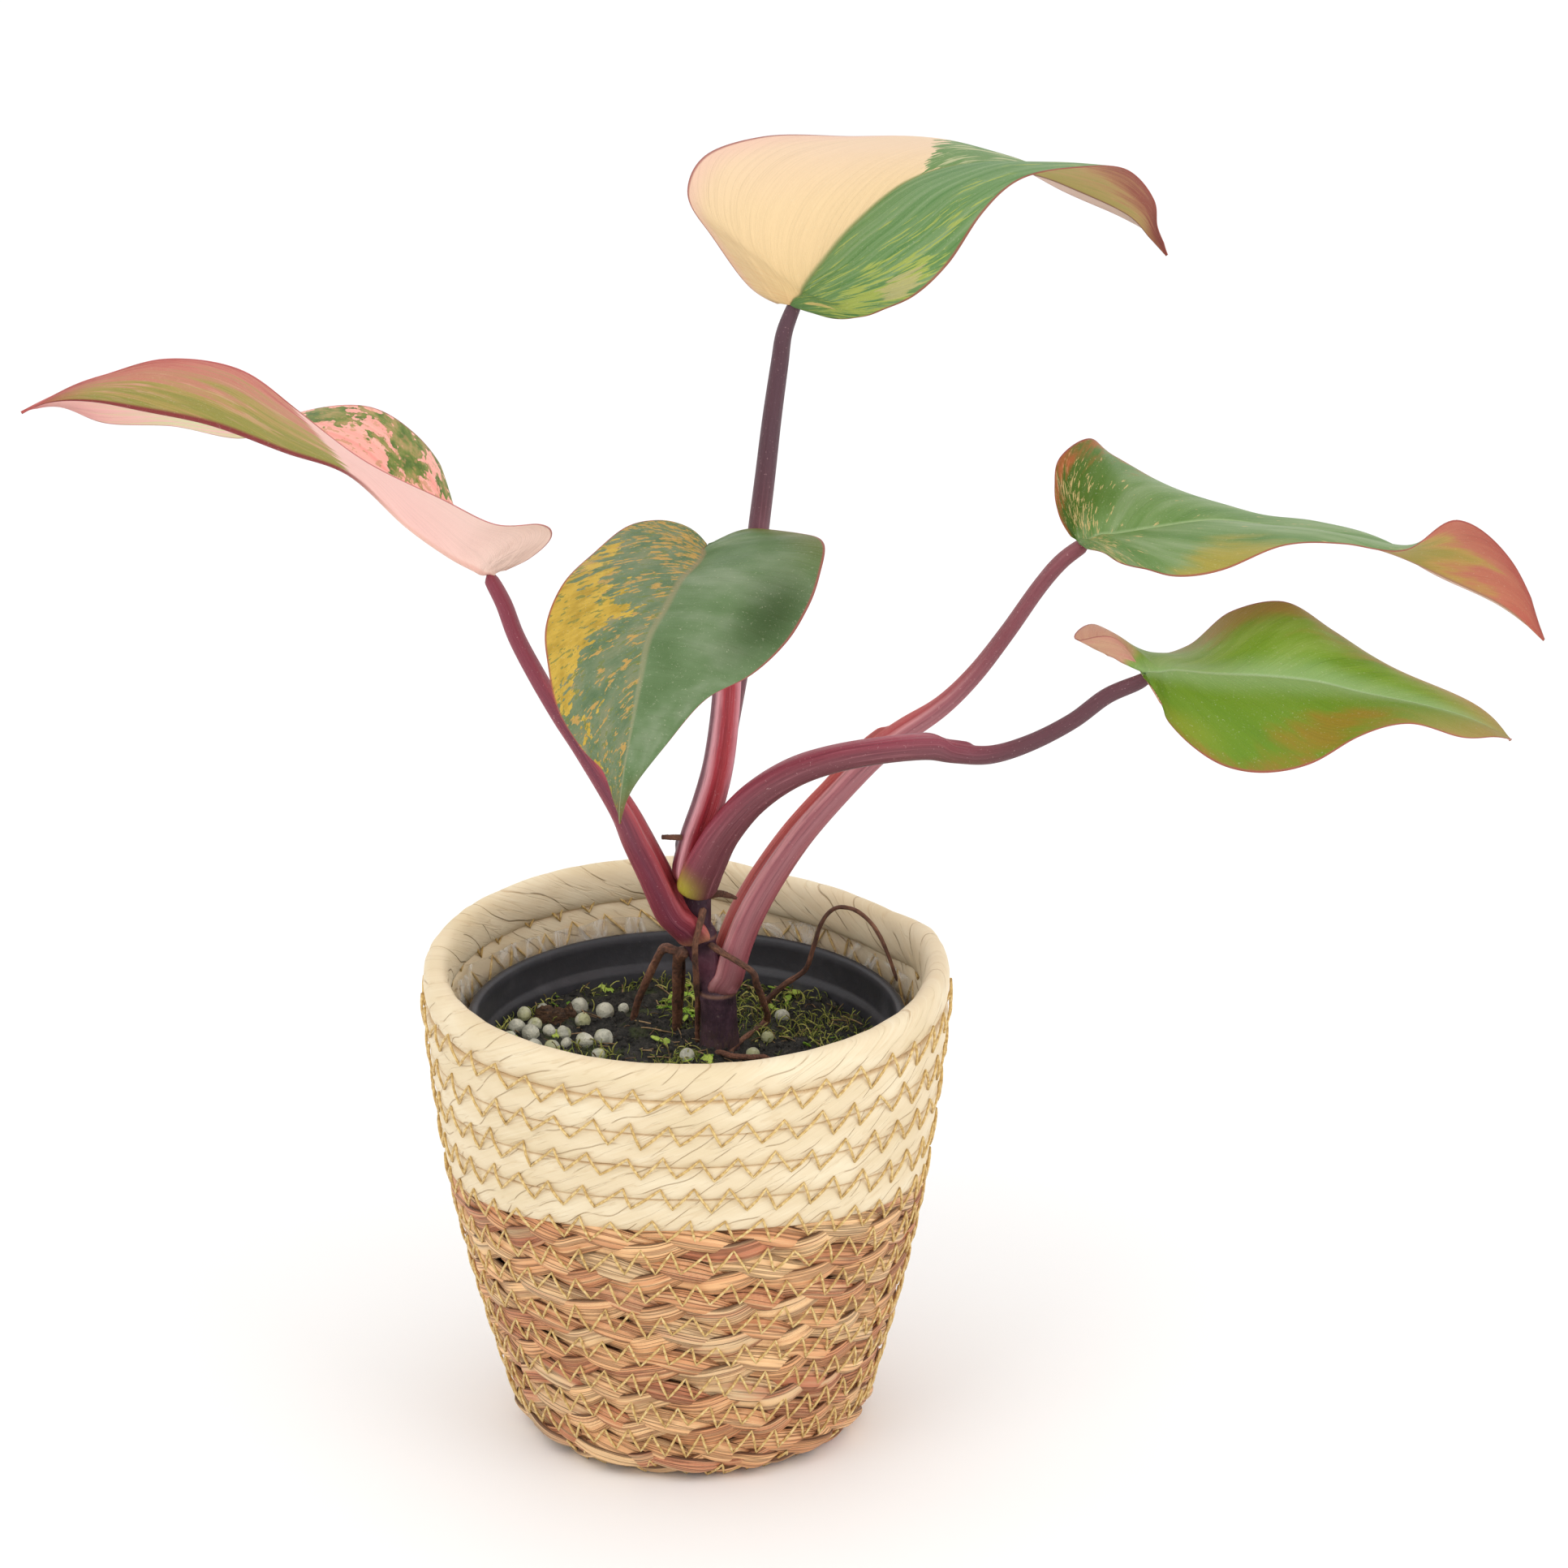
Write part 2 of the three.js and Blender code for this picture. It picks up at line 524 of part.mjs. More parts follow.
function innerRadius(z) {
  return along(INNER_RADII, z);
}

// Lower basket: flat coiled base and the plaited seagrass coils
const seagrassTop = BAND_HEIGHT - SEAT_GAP / 2;
addPiece('basket_seagrass_coils', coiled([
  { r: 0, z: 0 },
  { r: FOOT_RADIUS, z: 0 },
  ...coilOutline(3, seagrassTop, SEAGRASS_ROWS),
  { r: along(BASKET_RADII, seagrassTop) - ROW_GROOVE, z: seagrassTop },
  { r: innerRadius(seagrassTop), z: seagrassTop },
  { r: innerRadius(40), z: 40 },
  { r: innerRadius(BASKET_FLOOR), z: BASKET_FLOOR },
  { r: 0, z: BASKET_FLOOR },
], SEAGRASS_LOBE, PLAIT_LOBES), 'seagrass');

// Upper basket: the cream coils with their rounded rim
const creamFoot = BAND_HEIGHT + SEAT_GAP / 2;
const rimInner = innerRadius(RIM_HEIGHT - 4);
addPiece('basket_cream_coils', coiled([
  { r: innerRadius(creamFoot), z: creamFoot },
  ...coilOutline(creamFoot, RIM_HEIGHT - 1, CREAM_ROWS),
  { r: along(BASKET_RADII, RIM_HEIGHT) - 3, z: RIM_HEIGHT },
  { r: rimInner + 1, z: RIM_HEIGHT - 1 },
  { r: rimInner, z: RIM_HEIGHT - 4 },
  { r: innerRadius(104), z: 104 },
], CREAM_LOBE, PLAIT_LOBES), 'palm');

// Film liner against the inside of the basket, open at the top
const filmFoot = BASKET_FLOOR + SEAT_GAP;
const filmRadius = (z) => innerRadius(z) - SEAT_GAP - 0.2;
const filmHeights = [filmFoot, ...INNER_HEIGHTS.slice(1, -1), FILM_TOP];
addPiece('film_liner', turned([
  [0, filmFoot],
  ...filmHeights.map((z) => [filmRadius(z), z]),
  ...filmHeights.slice(1).reverse().map((z) => [filmRadius(z) - FILM_THICKNESS, z]),
  [filmRadius(filmFoot) - FILM_THICKNESS, filmFoot + FILM_THICKNESS],
  [0, filmFoot + FILM_THICKNESS],
], FILM_SEGMENTS, (r, z, angle) => onAxis(r, 0, angle).setZ(coilHeight(z, angle))), 'film');

// Nursery pot: thin tapered wall, stepped collar and rolled lip
const potFoot = filmFoot + FILM_THICKNESS + SEAT_GAP;
const potTop = potFoot + POT_HEIGHT;
const collar = potTop - POT_RIM_DEPTH;
addPiece('nursery_pot', turned([
  [0, potFoot],
  [POT_FOOT_RADIUS - 1, potFoot],
  [POT_FOOT_RADIUS, potFoot + 1.5],
  [POT_BODY_RADIUS, collar - 0.6],
  [POT_RIM_RADIUS - 0.8, collar],
  [POT_RIM_RADIUS, potTop - 0.8],
  [POT_RIM_RADIUS - 0.8, potTop],
  [POT_RIM_RADIUS - POT_LIP_WIDTH + 0.6, potTop],
  [POT_RIM_RADIUS - POT_LIP_WIDTH, potTop - 0.8],
  [POT_RIM_RADIUS - POT_LIP_WIDTH, collar + 2.6],
  [POT_BODY_RADIUS - POT_WALL, collar + 1.6],
  [POT_FOOT_RADIUS - POT_WALL, potFoot + POT_WALL + 0.4],
  [0, potFoot + POT_WALL + 0.4],
], POT_SEGMENTS, onAxis), 'black_plastic');

// Stem, petioles, blades and roots, each cut clear of what it grows from
const solids = {};
const swollen = {};

function addLimb(name, shape, sides, steps, neighbours, finish) {
  const body = solid(limb(shape, sides, steps));
  solids[name] = trimmed(body, neighbours.map((neighbour) => swollen[neighbour]));
  swollen[name] = solid(limb(shape, sides, steps, SEAT_GAP));
  addPiece(name, geometryFrom(solids[name]), finish);
}

addLimb('stem', STEM, STEM_SIDES, STEM_STEPS, [], 'stem_skin');

Object.entries(BLADES).forEach(([name, rows]) => {
  swollen[`leaf_${name}`] = solid(blade(rows, SEAT_GAP));
  addPiece(`leaf_${name}`, blade(rows), BLADE_FINISHES[name]);
});

const attachments = {
  right_lower: [],
  front: ['right_lower'],
  top: ['front', 'right_lower'],
  left: ['front', 'right_lower'],
  right_upper: ['right_lower'],
};
Object.entries(attachments).forEach(([name, others]) => {
  const shape = petioleToBlade(name);
  const neighbours = ['stem', `leaf_${name}`, ...others.map((other) => `petiole_${other}`)];
  addLimb(`petiole_${name}`, shape, PETIOLE_SIDES, shape.path.length + 1, neighbours, shape.finish);
});

const earlier = ['stem', ...Object.keys(attachments).map((name) => `petiole_${name}`)];
Object.entries(ROOTS).forEach(([name, shape]) => {
  addLimb(name, shape, ROOT_SIDES, shape.path.length + 2, earlier, 'dry_root');
  earlier.push(name);
});

// Potting soil: fills the pot, with an uneven top, sunk granules and plain holes for what stands in it
function soilRelief(x, y) {
  return SOIL_RELIEF * (Math.sin(0.19 * x + 0.7) * Math.cos(0.16 * y) + 0.6 * Math.sin(0.33 * x - 0.29 * y));
}

const soilFoot = potFoot + POT_WALL + 0.4 + SEAT_GAP;
const soilFootRadius = POT_FOOT_RADIUS - POT_WALL - SEAT_GAP - 0.4;
const soilRadius = POT_BODY_RADIUS - POT_WALL - SEAT_GAP - 1.6;
const soilRings = [1, 0.8, 0.6, 0.4, 0.2];
let soil = solid(turned([
  [0, soilFoot],
  [soilFootRadius, soilFoot],
  ...soilRings.map((share) => [soilRadius * share, SOIL_LEVEL]),
  [0, SOIL_LEVEL],
], SOIL_SEGMENTS, (r, z, angle) => {
  const point = onAxis(r, z, angle);
  return z === SOIL_LEVEL ? point.setZ(z + soilRelief(point.x, point.y)) : point;
}));

function lump(x, y, radius, squash, turn) {
  const geometry = new THREE.IcosahedronGeometry(1, 0);
  const corners = [];
  const places = new Map();
  const position = geometry.getAttribute('position');
  const index = Array.from({ length: position.count }, (_, i) => {
    const corner = new THREE.Vector3().fromBufferAttribute(position, i);
    const key = corner.toArray().map((value) => value.toFixed(3)).join();
    if (!places.has(key)) places.set(key, corners.push(corner) - 1);
    return places.get(key);
  });
  const rise = SOIL_LEVEL + soilRelief(x, y) + radius * squash * 0.35;
  corners.forEach((corner) => {
    corner.applyAxisAngle(new THREE.Vector3(0, 0, 1), turn);
    corner.set(x + corner.x * radius, y + corner.y * radius, rise + corner.z * radius * squash);
  });
  const faces = Array.from({ length: index.length / 3 }, (_, i) => index.slice(3 * i, 3 * i + 3));
  return solid(geometryOf(corners, faces));
}

const draw = seeded(7);
const hidden = Array.from({ length: HIDDEN_GRANULES }, () => {
  const angle = -0.15 * Math.PI - draw() * 0.7 * Math.PI;
  const reach = 18 + draw() * 32;
  return [reach * Math.cos(angle), reach * Math.sin(angle)];
});
[...GRANULE_SPOTS, ...hidden].forEach(([x, y]) => {
  soil = soil.add(lump(x, y, GRANULE_RADIUS * (0.85 + 0.3 * draw()), 0.85, draw() * Math.PI));
});
soil = soil.add(lump(...BARK_SPOT, 3.6, 0.5, 0.4));
const standing = ['stem', ...Object.keys(ROOTS)];
addPiece('potting_soil', geometryFrom(trimmed(soil, standing.map((name) => swollen[name]))), 'peat');

export default plant;
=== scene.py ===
import math
from functools import partialmethod

import bpy
import numpy as np
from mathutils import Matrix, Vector, noise


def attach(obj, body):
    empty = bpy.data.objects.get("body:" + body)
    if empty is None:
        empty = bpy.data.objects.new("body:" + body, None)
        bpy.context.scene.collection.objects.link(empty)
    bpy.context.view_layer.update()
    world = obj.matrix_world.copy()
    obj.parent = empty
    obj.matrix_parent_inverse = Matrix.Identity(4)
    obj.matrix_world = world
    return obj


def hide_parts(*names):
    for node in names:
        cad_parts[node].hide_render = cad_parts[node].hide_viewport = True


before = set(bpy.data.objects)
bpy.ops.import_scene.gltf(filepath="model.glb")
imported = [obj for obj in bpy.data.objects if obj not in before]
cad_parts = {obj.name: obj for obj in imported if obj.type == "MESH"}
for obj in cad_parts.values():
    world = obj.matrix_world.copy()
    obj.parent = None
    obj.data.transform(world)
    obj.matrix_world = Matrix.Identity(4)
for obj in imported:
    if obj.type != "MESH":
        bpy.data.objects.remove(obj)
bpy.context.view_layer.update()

# Camera: it looks along +Y and a little down, from as far off as the photograph was taken, with the long
# lens that gives the photograph's frame.
PHOTO_SIDE = 1932
FOCAL_LENGTH_IN_PIXELS = 10066
CAMERA_PITCH = math.radians(21.5)
CAMERA_DISTANCE = 2.2
CAMERA_AIM = Vector((0.0265, 0, 0.186))

camera = bpy.data.objects.new("camera", bpy.data.cameras.new("camera"))
camera.data.sensor_width = 36
camera.data.lens = FOCAL_LENGTH_IN_PIXELS / PHOTO_SIDE * camera.data.sensor_width
camera.location = CAMERA_AIM - CAMERA_DISTANCE * Vector((0, math.cos(CAMERA_PITCH), -math.sin(CAMERA_PITCH)))
camera.rotation_euler = (math.pi / 2 - CAMERA_PITCH, 0, 0)
bpy.context.collection.objects.link(camera)
bpy.context.scene.camera = camera


# Basket, brown band: eight coils plaited from three flat seagrass strands each, a corner coil and the flat
# coiled base. Every coil is sewn to the next one.
MM = 0.001
BASKET_FOOT_RADIUS = 47
BASKET_FLARE = 0.3084
BASKET_FLARE_LOSS = 0.000859
BASKET_FLOOR = 8
BASKET_SHIFT = 1.2
BAND_HEIGHT = 80
BAND_SWAY = 4
RIM_HEIGHT = 135
RIM_TILT = 2.3
SEAGRASS_COILS = 8
SEAGRASS_FOOT = 3
SEAGRASS_PITCH = (BAND_HEIGHT - SEAGRASS_FOOT) / SEAGRASS_COILS
STRANDS = 3
STRAND_DEPTH = 2.9
STRAND_SWING = 3.1
STRAND_HALF_WIDTH = 2.9
STRAND_GAUGE = 1.45
CROSSING_DEPTH = 1.25


class Field:
    """A value that runs through a node tree: sums and products of fields add their own nodes."""

    def __init__(self, tree, socket=None):
        self.tree = tree
        self.socket = socket

    def node(self, kind, settings=None, values=None):
        made = self.tree.nodes.new(kind)
        for name, setting in (settings or {}).items():
            if name == "stops":
                ramp = made.color_ramp
                while len(ramp.elements) < len(setting):
                    ramp.elements.new(1)
                for element, (place, colour) in zip(ramp.elements, setting):
                    element.position = place
                    element.color = colour
            else:
                setattr(made, name, setting)
        for key, value in (values or {}).items():
            socket = made.inputs[key] if isinstance(key, int) else next(
                s for s in made.inputs if s.name == key and not s.is_unavailable)
            if isinstance(value, Field):
                self.tree.links.new(value.socket, socket)
            else:
                socket.default_value = value
        return Field(self.tree, next(s for s in made.outputs if not s.is_unavailable))

    def fresh(self, kind, settings=None, before=None, **values):
        """A geometry node in this tree. An underscore stands for a space in a socket's name."""
        sockets = {name.replace("_", " "): value for name, value in values.items()}
        return self.node("GeometryNode" + kind, settings, {**(before or {}), **sockets})

    def then(self, kind, settings=None, **values):
        """The next step on this geometry."""
        return self.fresh(kind, settings, {0: self}, **values)

    def stored(self, name, value, kind="FLOAT", domain="INSTANCE"):
        """This geometry with a value kept on it under a name."""
        kept_as = {"data_type": kind, "domain": domain}
        return self.then("StoreNamedAttribute", kept_as, Name=name, Value=value)

    def also(self, name):
        """Another output of the same node."""
        return Field(self.tree, next(
            s for s in self.socket.node.outputs if s.name == name and not s.is_unavailable))

    def math(self, operation, *others):
        return self.node("ShaderNodeMath", {"operation": operation}, dict(enumerate((self, *others))))

    def __rsub__(self, other):
        return self.node("ShaderNodeMath", {"operation": "SUBTRACT"}, {0: other, 1: self})

    __add__ = __radd__ = partialmethod(math, "ADD")
    __sub__ = partialmethod(math, "SUBTRACT")
    __mul__ = __rmul__ = partialmethod(math, "MULTIPLY")
    __truediv__ = partialmethod(math, "DIVIDE")
    __pow__ = partialmethod(math, "POWER")
    __mod__ = partialmethod(math, "FLOORED_MODULO")
    sin = partialmethod(math, "SINE")
    cos = partialmethod(math, "COSINE")
    floor = partialmethod(math, "FLOOR")
    size = partialmethod(math, "ABSOLUTE")
    sign = partialmethod(math, "SIGN")

    def step(self, low, high):
        """0 below low and 1 above high, with a soft passage between."""
        return self.node("ShaderNodeMapRange", {"interpolation_type": "SMOOTHSTEP"},
                         {"Value": self, "From Min": low, "From Max": high})

    def bell(self, middle, width):
        """1 at the middle, falling to 0 at a width on either side."""
        return 1 - ((self - middle) / width).size().step(0, 1)

    def vector(self, y=0.0, z=0.0):
        return self.node("ShaderNodeCombineXYZ", values={"X": self, "Y": y, "Z": z})

    def arrow(self, operation, *others):
        """Vector sum: the operation's second and later values follow this one."""
        return self.node("ShaderNodeVectorMath", {"operation": operation}, dict(enumerate((self, *others))))

    def scaled(self, by):
        return self.node("ShaderNodeVectorMath", {"operation": "SCALE"}, {0: self, "Scale": by})

    def noise(self, scale, detail=2.0, roughness=0.5, distortion=0.0):
        """Cloudy value round 0.5 at this place."""
        return self.node("ShaderNodeTexNoise", values={
            "Vector": self, "Scale": scale, "Detail": detail, "Roughness": roughness,
            "Distortion": distortion})

    def chance(self):
        """An even draw from 0 to 1 for each different value."""
        return self.node("ShaderNodeTexWhiteNoise", {"noise_dimensions": "1D"}, {"W": self})

    def blend(self, first, second):
        """Colour that goes from the first to the second as this goes from 0 to 1."""
        return self.node("ShaderNodeMix", {"data_type": "RGBA"}, {"Factor": self, "A": first, "B": second})

    def toned(self, share, red, green, blue):
        """This colour carried over to a tint by a share."""
        return share.blend(self, tint(red, green, blue))

    def ramp(self, *stops):
        """Colour that runs through the stops, each a place from 0 to 1 and a tint."""
        colours = [(place, tint(*colour)) for place, *colour in stops]
        return self.node("ShaderNodeValToRGB", {"stops": colours}, {"Fac": self})

    def attribute(self, name):
        return self.node("ShaderNodeAttribute", {"attribute_name": name}).also("Fac")

    def place(self):
        return self.node("ShaderNodeTexCoord").also("Object")

    def parts(self):
        """X of this vector; Y and Z are the node's other outputs."""
        return self.node("ShaderNodeSeparateXYZ", values={"Vector": self})


def tint(red, green, blue):
    """Colour of light for a colour as a screen shows it, 0 to 255."""
    def channel(value):
        value /= 255
        return value / 12.92 if value <= 0.04045 else ((value + 0.055) / 1.055) ** 2.4
    return channel(red), channel(green), channel(blue), 1


def surface(name, pattern, **constants):
    """Material whose pattern gives what varies, by the names of the shader's sockets."""
    material = bpy.data.materials.new(name)
    material.use_nodes = True
    tree = material.node_tree
    shader = tree.nodes["Principled BSDF"]
    for socket, value in constants.items():
        shader.inputs[socket.replace("_", " ")].default_value = value
    for socket, field in pattern(Field(tree)).items():
        tree.links.new(field.socket, shader.inputs[socket])
    return material


def bumps(height, distance):
    return height.node("ShaderNodeBump", values={"Height": height, "Distance": distance})


def coat(colour, roughness, height, distance):
    """What most patterns give: colour, roughness, and a relief of so many metres."""
    return {"Base Color": colour, "Roughness": roughness, "Normal": bumps(height, distance)}


def grow(name, inputs, build, material, source=None):
    """Piece grown by a geometry node tree with these named inputs, kept as a plain mesh. The tree may grow
    it on a source mesh."""
    tree = bpy.data.node_groups.new(name, "GeometryNodeTree")
    tree.interface.new_socket("Geometry", in_out="OUTPUT", socket_type="NodeSocketGeometry")
    tree.interface.new_socket("Geometry", in_out="INPUT", socket_type="NodeSocketGeometry")
    for label, value in inputs.items():
        kind = "NodeSocketInt" if isinstance(value, int) else "NodeSocketFloat"
        tree.interface.new_socket(label, in_out="INPUT", socket_type=kind)
    entry = tree.nodes.new("NodeGroupInput")
    given = {label: Field(tree, entry.outputs[label]) for label in ("Geometry", *inputs)}
    grown = build(Field(tree), given)
    painted = grown.then("RealizeInstances").then("SetMaterial", Material=material)
    tree.links.new(painted.socket, tree.nodes.new("NodeGroupOutput").inputs[0])
    piece = bpy.data.objects.new(name, source or bpy.data.meshes.new(name))
    bpy.context.collection.objects.link(piece)
    modifier = piece.modifiers.new("growth", "NODES")
    modifier.node_group = tree
    for item in tree.interface.items_tree:
        if item.in_out == "INPUT" and item.name in inputs:
            modifier[item.identifier] = inputs[item.name]
    evaluated = piece.evaluated_get(bpy.context.evaluated_depsgraph_get())
    mesh = bpy.data.meshes.new_from_object(evaluated)
    piece.modifiers.clear()
    piece.data = mesh
    return piece


def fit(piece, slot, *nodes):
    """The piece rides on the one body and stands for these nodes, whose parts are hidden. The slot is not
    used.
    """
    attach(piece, "root")
    if nodes:
        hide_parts(*nodes)


def wall_radius(height):
    """Outer radius of the basket at the crest of its coils, in mm; the height may be a number or a field."""
    return BASKET_FOOT_RADIUS + BASKET_FLARE * height - BASKET_FLARE_LOSS * (height * height)


def swayed(height, angle, lower):
    """True height of a level line on the lower or upper band: the coils rise and fall a little round it."""
    level = BASKET_FLOOR + 1
    if lower:
        share = ((height - level) / (BAND_HEIGHT - level)).math("MAXIMUM", 0)
    else:
        share = (RIM_HEIGHT - height) / (RIM_HEIGHT - BAND_HEIGHT)
    tilt = ((height - level) / RIM_HEIGHT).math("MAXIMUM", 0) ** 2
    return height - share * (angle * 2).cos() * BAND_SWAY + tilt * angle.sin() * RIM_TILT


def numbered(root, name, count, shape):
    """So many copies of a shape in one geometry, and the number of its copy as each point knows it."""
    points = root.fresh("Points", Count=count)
    copies = points.then("InstanceOnPoints", Instance=shape)
    marked = copies.stored(name, root.fresh("InputIndex"), "INT")
    number = root.fresh("InputNamedAttribute", {"data_type": "INT"}, Name=name)
    return marked.then("RealizeInstances"), number


def unit_sheet(root, along, around):
    """Flat grid one unit long and wide, round the origin."""
    return root.fresh("MeshGrid", Size_X=1, Size_Y=1, Vertices_X=along + 1, Vertices_Y=around + 1)


def strand_sheets(root, count, along, around):
    """A sheet for each strand, and what its points know: strand, angle round the basket, and angle round the
    strand. The sheets close to rings when their points are placed."""
    sheets, number = numbered(root, "strand", count, unit_sheet(root, along, around))
    place = root.fresh("InputPosition").parts()
    return sheets, number, (place + 0.75) * math.tau, place.also("Y") * math.tau


def keep(sheets, **fields):
    """Stores these values at the sheets' corners, where a closed seam can't mix its two sides."""
    for name, field in fields.items():
        sheets = sheets.stored(name, field, domain="CORNER")
    return sheets


def closed(sheets, position):
    """Moves the points of the sheets to their places and joins the edges that meet."""
    moved = sheets.then("SetPosition", Position=position)
    return moved.then("MergeByDistance", Distance=0.00001).then("SetShadeSmooth")


def on_basket(radius, angle, height):
    """Place at a radius, angle and height in mm; the basket's foot stands a little to the right."""
    shift = (1 - height / BAND_HEIGHT).math("MAXIMUM", 0) * BASKET_SHIFT
    return ((radius * angle.cos() + shift) * MM).vector(
        radius * angle.sin() * MM, height.math("MAXIMUM", 0.02) * MM)


def foot_tuck(height):
    """How far the lowest coil draws in towards the base, in mm."""
    return (1 - height / BASKET_FLOOR).math("MAXIMUM", 0) ** 2 * 4


def plaited_coils(root, given):
    """Rings of three-strand plait, one above the other on the wall, or one in the other when laid flat."""
    sheets, number, angle, girth = strand_sheets(root, given["Coils"] * STRANDS, given["Steps"], 18)
    coil = (number / STRANDS + 0.01).floor()
    around = angle.cos().vector(angle.sin(), coil * 3.7 + given["Seed"])
    turns = given["Plait turns"]
    swing = angle * turns + number * (math.tau / STRANDS) + coil * 1.9 + (around.noise(1.3) - 0.5) * 3
    lobe = ((swing / math.pi - 0.25) % (turns * 2)).floor() + (number + given["Seed"] * 7) * 40
    crossing = (swing * 2).sin()
    rise = swing.sin() * STRAND_SWING + (around.noise(2.6) - 0.5) * 1.4
    lean = swing.sin() * 0.3 + (around.noise(3.0) - 0.5) * 0.4
    width = (0.92 + 0.2 * lobe.chance()) * (STRAND_HALF_WIDTH - 0.6 * crossing)
    folds = 1 + 0.14 * (girth * 3 + lobe * 2).sin()
    side = girth.sin() * width
    front = girth.cos() * STRAND_GAUGE * folds
    up = rise + side * lean.cos() + front * lean.sin()
    proud = crossing * -CROSSING_DEPTH + front * lean.cos() - side * lean.sin()
    flat = given["Laid flat"]
    upright = 1 - flat
    level = given["First height"] + given["Pitch"] * coil * upright
    ring = given["First radius"] + given["Pitch"] * coil
    tilt = flat * (math.pi / 2)
    wall = wall_radius(level + up) - foot_tuck(level + up)
    radius = wall * upright + ring * flat + (proud - STRAND_DEPTH * upright) * tilt.cos() + up * tilt.sin()
    height = level + up * tilt.cos() - proud * tilt.sin()
    sheets = keep(sheets, lobe=lobe, run=angle * 60, girth=girth, proud=proud)
    return closed(sheets, on_basket(radius, angle, swayed(height, angle, True)))


def turned(name, profile, segments, shift=None):
    """Closed body of revolution from a profile of (radius, height) in mm that runs up the outside, from the
    axis to the axis; shift moves a point."""
    points = []
    rows = []
    for radius, height in profile:
        angles = [math.tau * step / segments for step in range(1 if radius == 0 else segments)]
        row = [Vector((radius * math.cos(angle), radius * math.sin(angle), height)) for angle in angles]
        rows.append(range(len(points), len(points) + len(row)))
        points += [shift(point) for point in row] if shift else row
    faces = []
    for lower, upper in zip(rows, rows[1:]):
        for step in range(segments):
            corners = (lower[step % len(lower)], lower[(step + 1) % len(lower)],
                       upper[(step + 1) % len(upper)], upper[step % len(upper)])
            faces.append(tuple(dict.fromkeys(corners)))
    mesh = bpy.data.meshes.new(name)
    mesh.from_pydata([point * MM for point in points], [], faces)
    mesh.shade_smooth()
    return mesh


def piece_of(name, mesh, material):
    piece = bpy.data.objects.new(name, mesh)
    bpy.context.collection.objects.link(piece)
    mesh.materials.append(material)
    return piece


SEAGRASS_TONES = (
    (0.0, 188, 118, 84),
    (0.22, 220, 156, 108),
    (0.5, 238, 182, 128),
    (0.75, 246, 204, 150),
    (0.88, 214, 184, 142),
    (1.0, 198, 126, 92),
)


def seagrass(root):
    lobe = root.attribute("lobe")
    girth = root.attribute("girth")
    run = root.attribute("run")
    slow = (run * 0.02).vector(girth * 0.8, lobe * 0.37).noise(1.2, 2)
    fold = (run * 0.012).vector(girth * 1.5, lobe * 0.61).noise(1.5, 2, 0.5)
    fibre = (run * 0.016).vector(girth * 6, lobe * 0.2).noise(1.5, 3, 0.6)
    crack = (run * 0.012).vector(girth * 1.5, lobe * 0.43).noise(1.5, 3, 0.45)
    line = 1 - ((crack - 0.5) * 16).size().step(0, 1)
    colour = (lobe.chance() * 1.05 + slow * 0.6 - 0.32).ramp(*SEAGRASS_TONES)
    colour = colour.toned(fold.step(0.52, 0.66) * 0.5, 250, 208, 156)
    colour = colour.toned((1 - fold).step(0.54, 0.68) * 0.45, 184, 120, 84)
    colour = colour.toned((1 - fibre).step(0.5, 0.66) * 0.16, 168, 108, 72)
    colour = colour.toned(fibre.step(0.54, 0.68) * 0.16, 252, 222, 176)
    colour = colour.toned(line * 0.45, 112, 70, 46)
    # Painted shade: a dark outline along both edges of each strand, where the strands shade one another.
    edge = girth.sin().size().step(0.9, 1.0)
    colour = colour.toned(edge * 0.8, 80, 46, 30)
    # Painted shade: darker where a strand dives under the others at a crossing.
    buried_shade = 1 - root.attribute("proud").step(-1.8, 0.1)
    colour = colour.toned(buried_shade * 0.84, 84, 50, 32)
    return coat(colour, 0.42 + 0.25 * fibre, fibre * 0.15 + fold * 0.7 - line * 0.5, 0.0008)


def loose_grass(root):
    strand = root.place().arrow("MULTIPLY", (1, 1, 5)).noise(160, 3)
    colour = strand.blend(tint(92, 58, 38), tint(164, 110, 74))
    return {"Base Color": colour, "Roughness": 0.8 + 0.1 * strand}


def with_foot(point):
    return point + Vector(((1 - point.z / BAND_HEIGHT) * BASKET_SHIFT, 0, 0))


CORE_FOOT = 6.2
CORE_GAUGE = 1.4
CORE_INSET = 4.8
CORE_BASE_RADIUS = 36
core_heights = [10, 20, 30, 40, 50, 60, 70, 78]
core_profile = [
    (0, CORE_FOOT),
    (CORE_BASE_RADIUS, CORE_FOOT),
    *((wall_radius(height) - CORE_INSET, height) for height in core_heights),
    *((wall_radius(height) - CORE_INSET - CORE_GAUGE, height) for height in reversed(core_heights)),
    (CORE_BASE_RADIUS, CORE_FOOT + CORE_GAUGE),
    (0, CORE_FOOT + CORE_GAUGE),
]
core = piece_of("basket_coil_filling", turned("basket_coil_filling", core_profile, 120, with_foot),
                surface("loose_grass", loose_grass))
fit(core, "seagrass")
seagrass_skin = surface("seagrass", seagrass, Specular_IOR_Level=0.35)
LOWEST_ROW = SEAGRASS_FOOT + SEAGRASS_PITCH / 2
for name, nodes, coils, steps, pitch, first_radius, height, turns, flat, seed in (
        ("basket_plaited_wall", ("basket_seagrass_coils",), SEAGRASS_COILS, 230, SEAGRASS_PITCH, 0.0,
         LOWEST_ROW, 6, 0.0, 1),
        ("basket_corner_coil", (), 1, 150, 9.0, 42.6, 4.6, 5, 0.5, 2),
        ("basket_base_coils", (), 4, 110, 9.3, 7.0, 3.1, 3, 1.0, 3)):
    plait = grow(name, {
        "Coils": coils, "Steps": steps, "First height": height, "Pitch": pitch, "First radius": first_radius,
        "Plait turns": turns, "Laid flat": flat, "Seed": seed}, plaited_coils, seagrass_skin)
    fit(plait, "seagrass", *nodes)


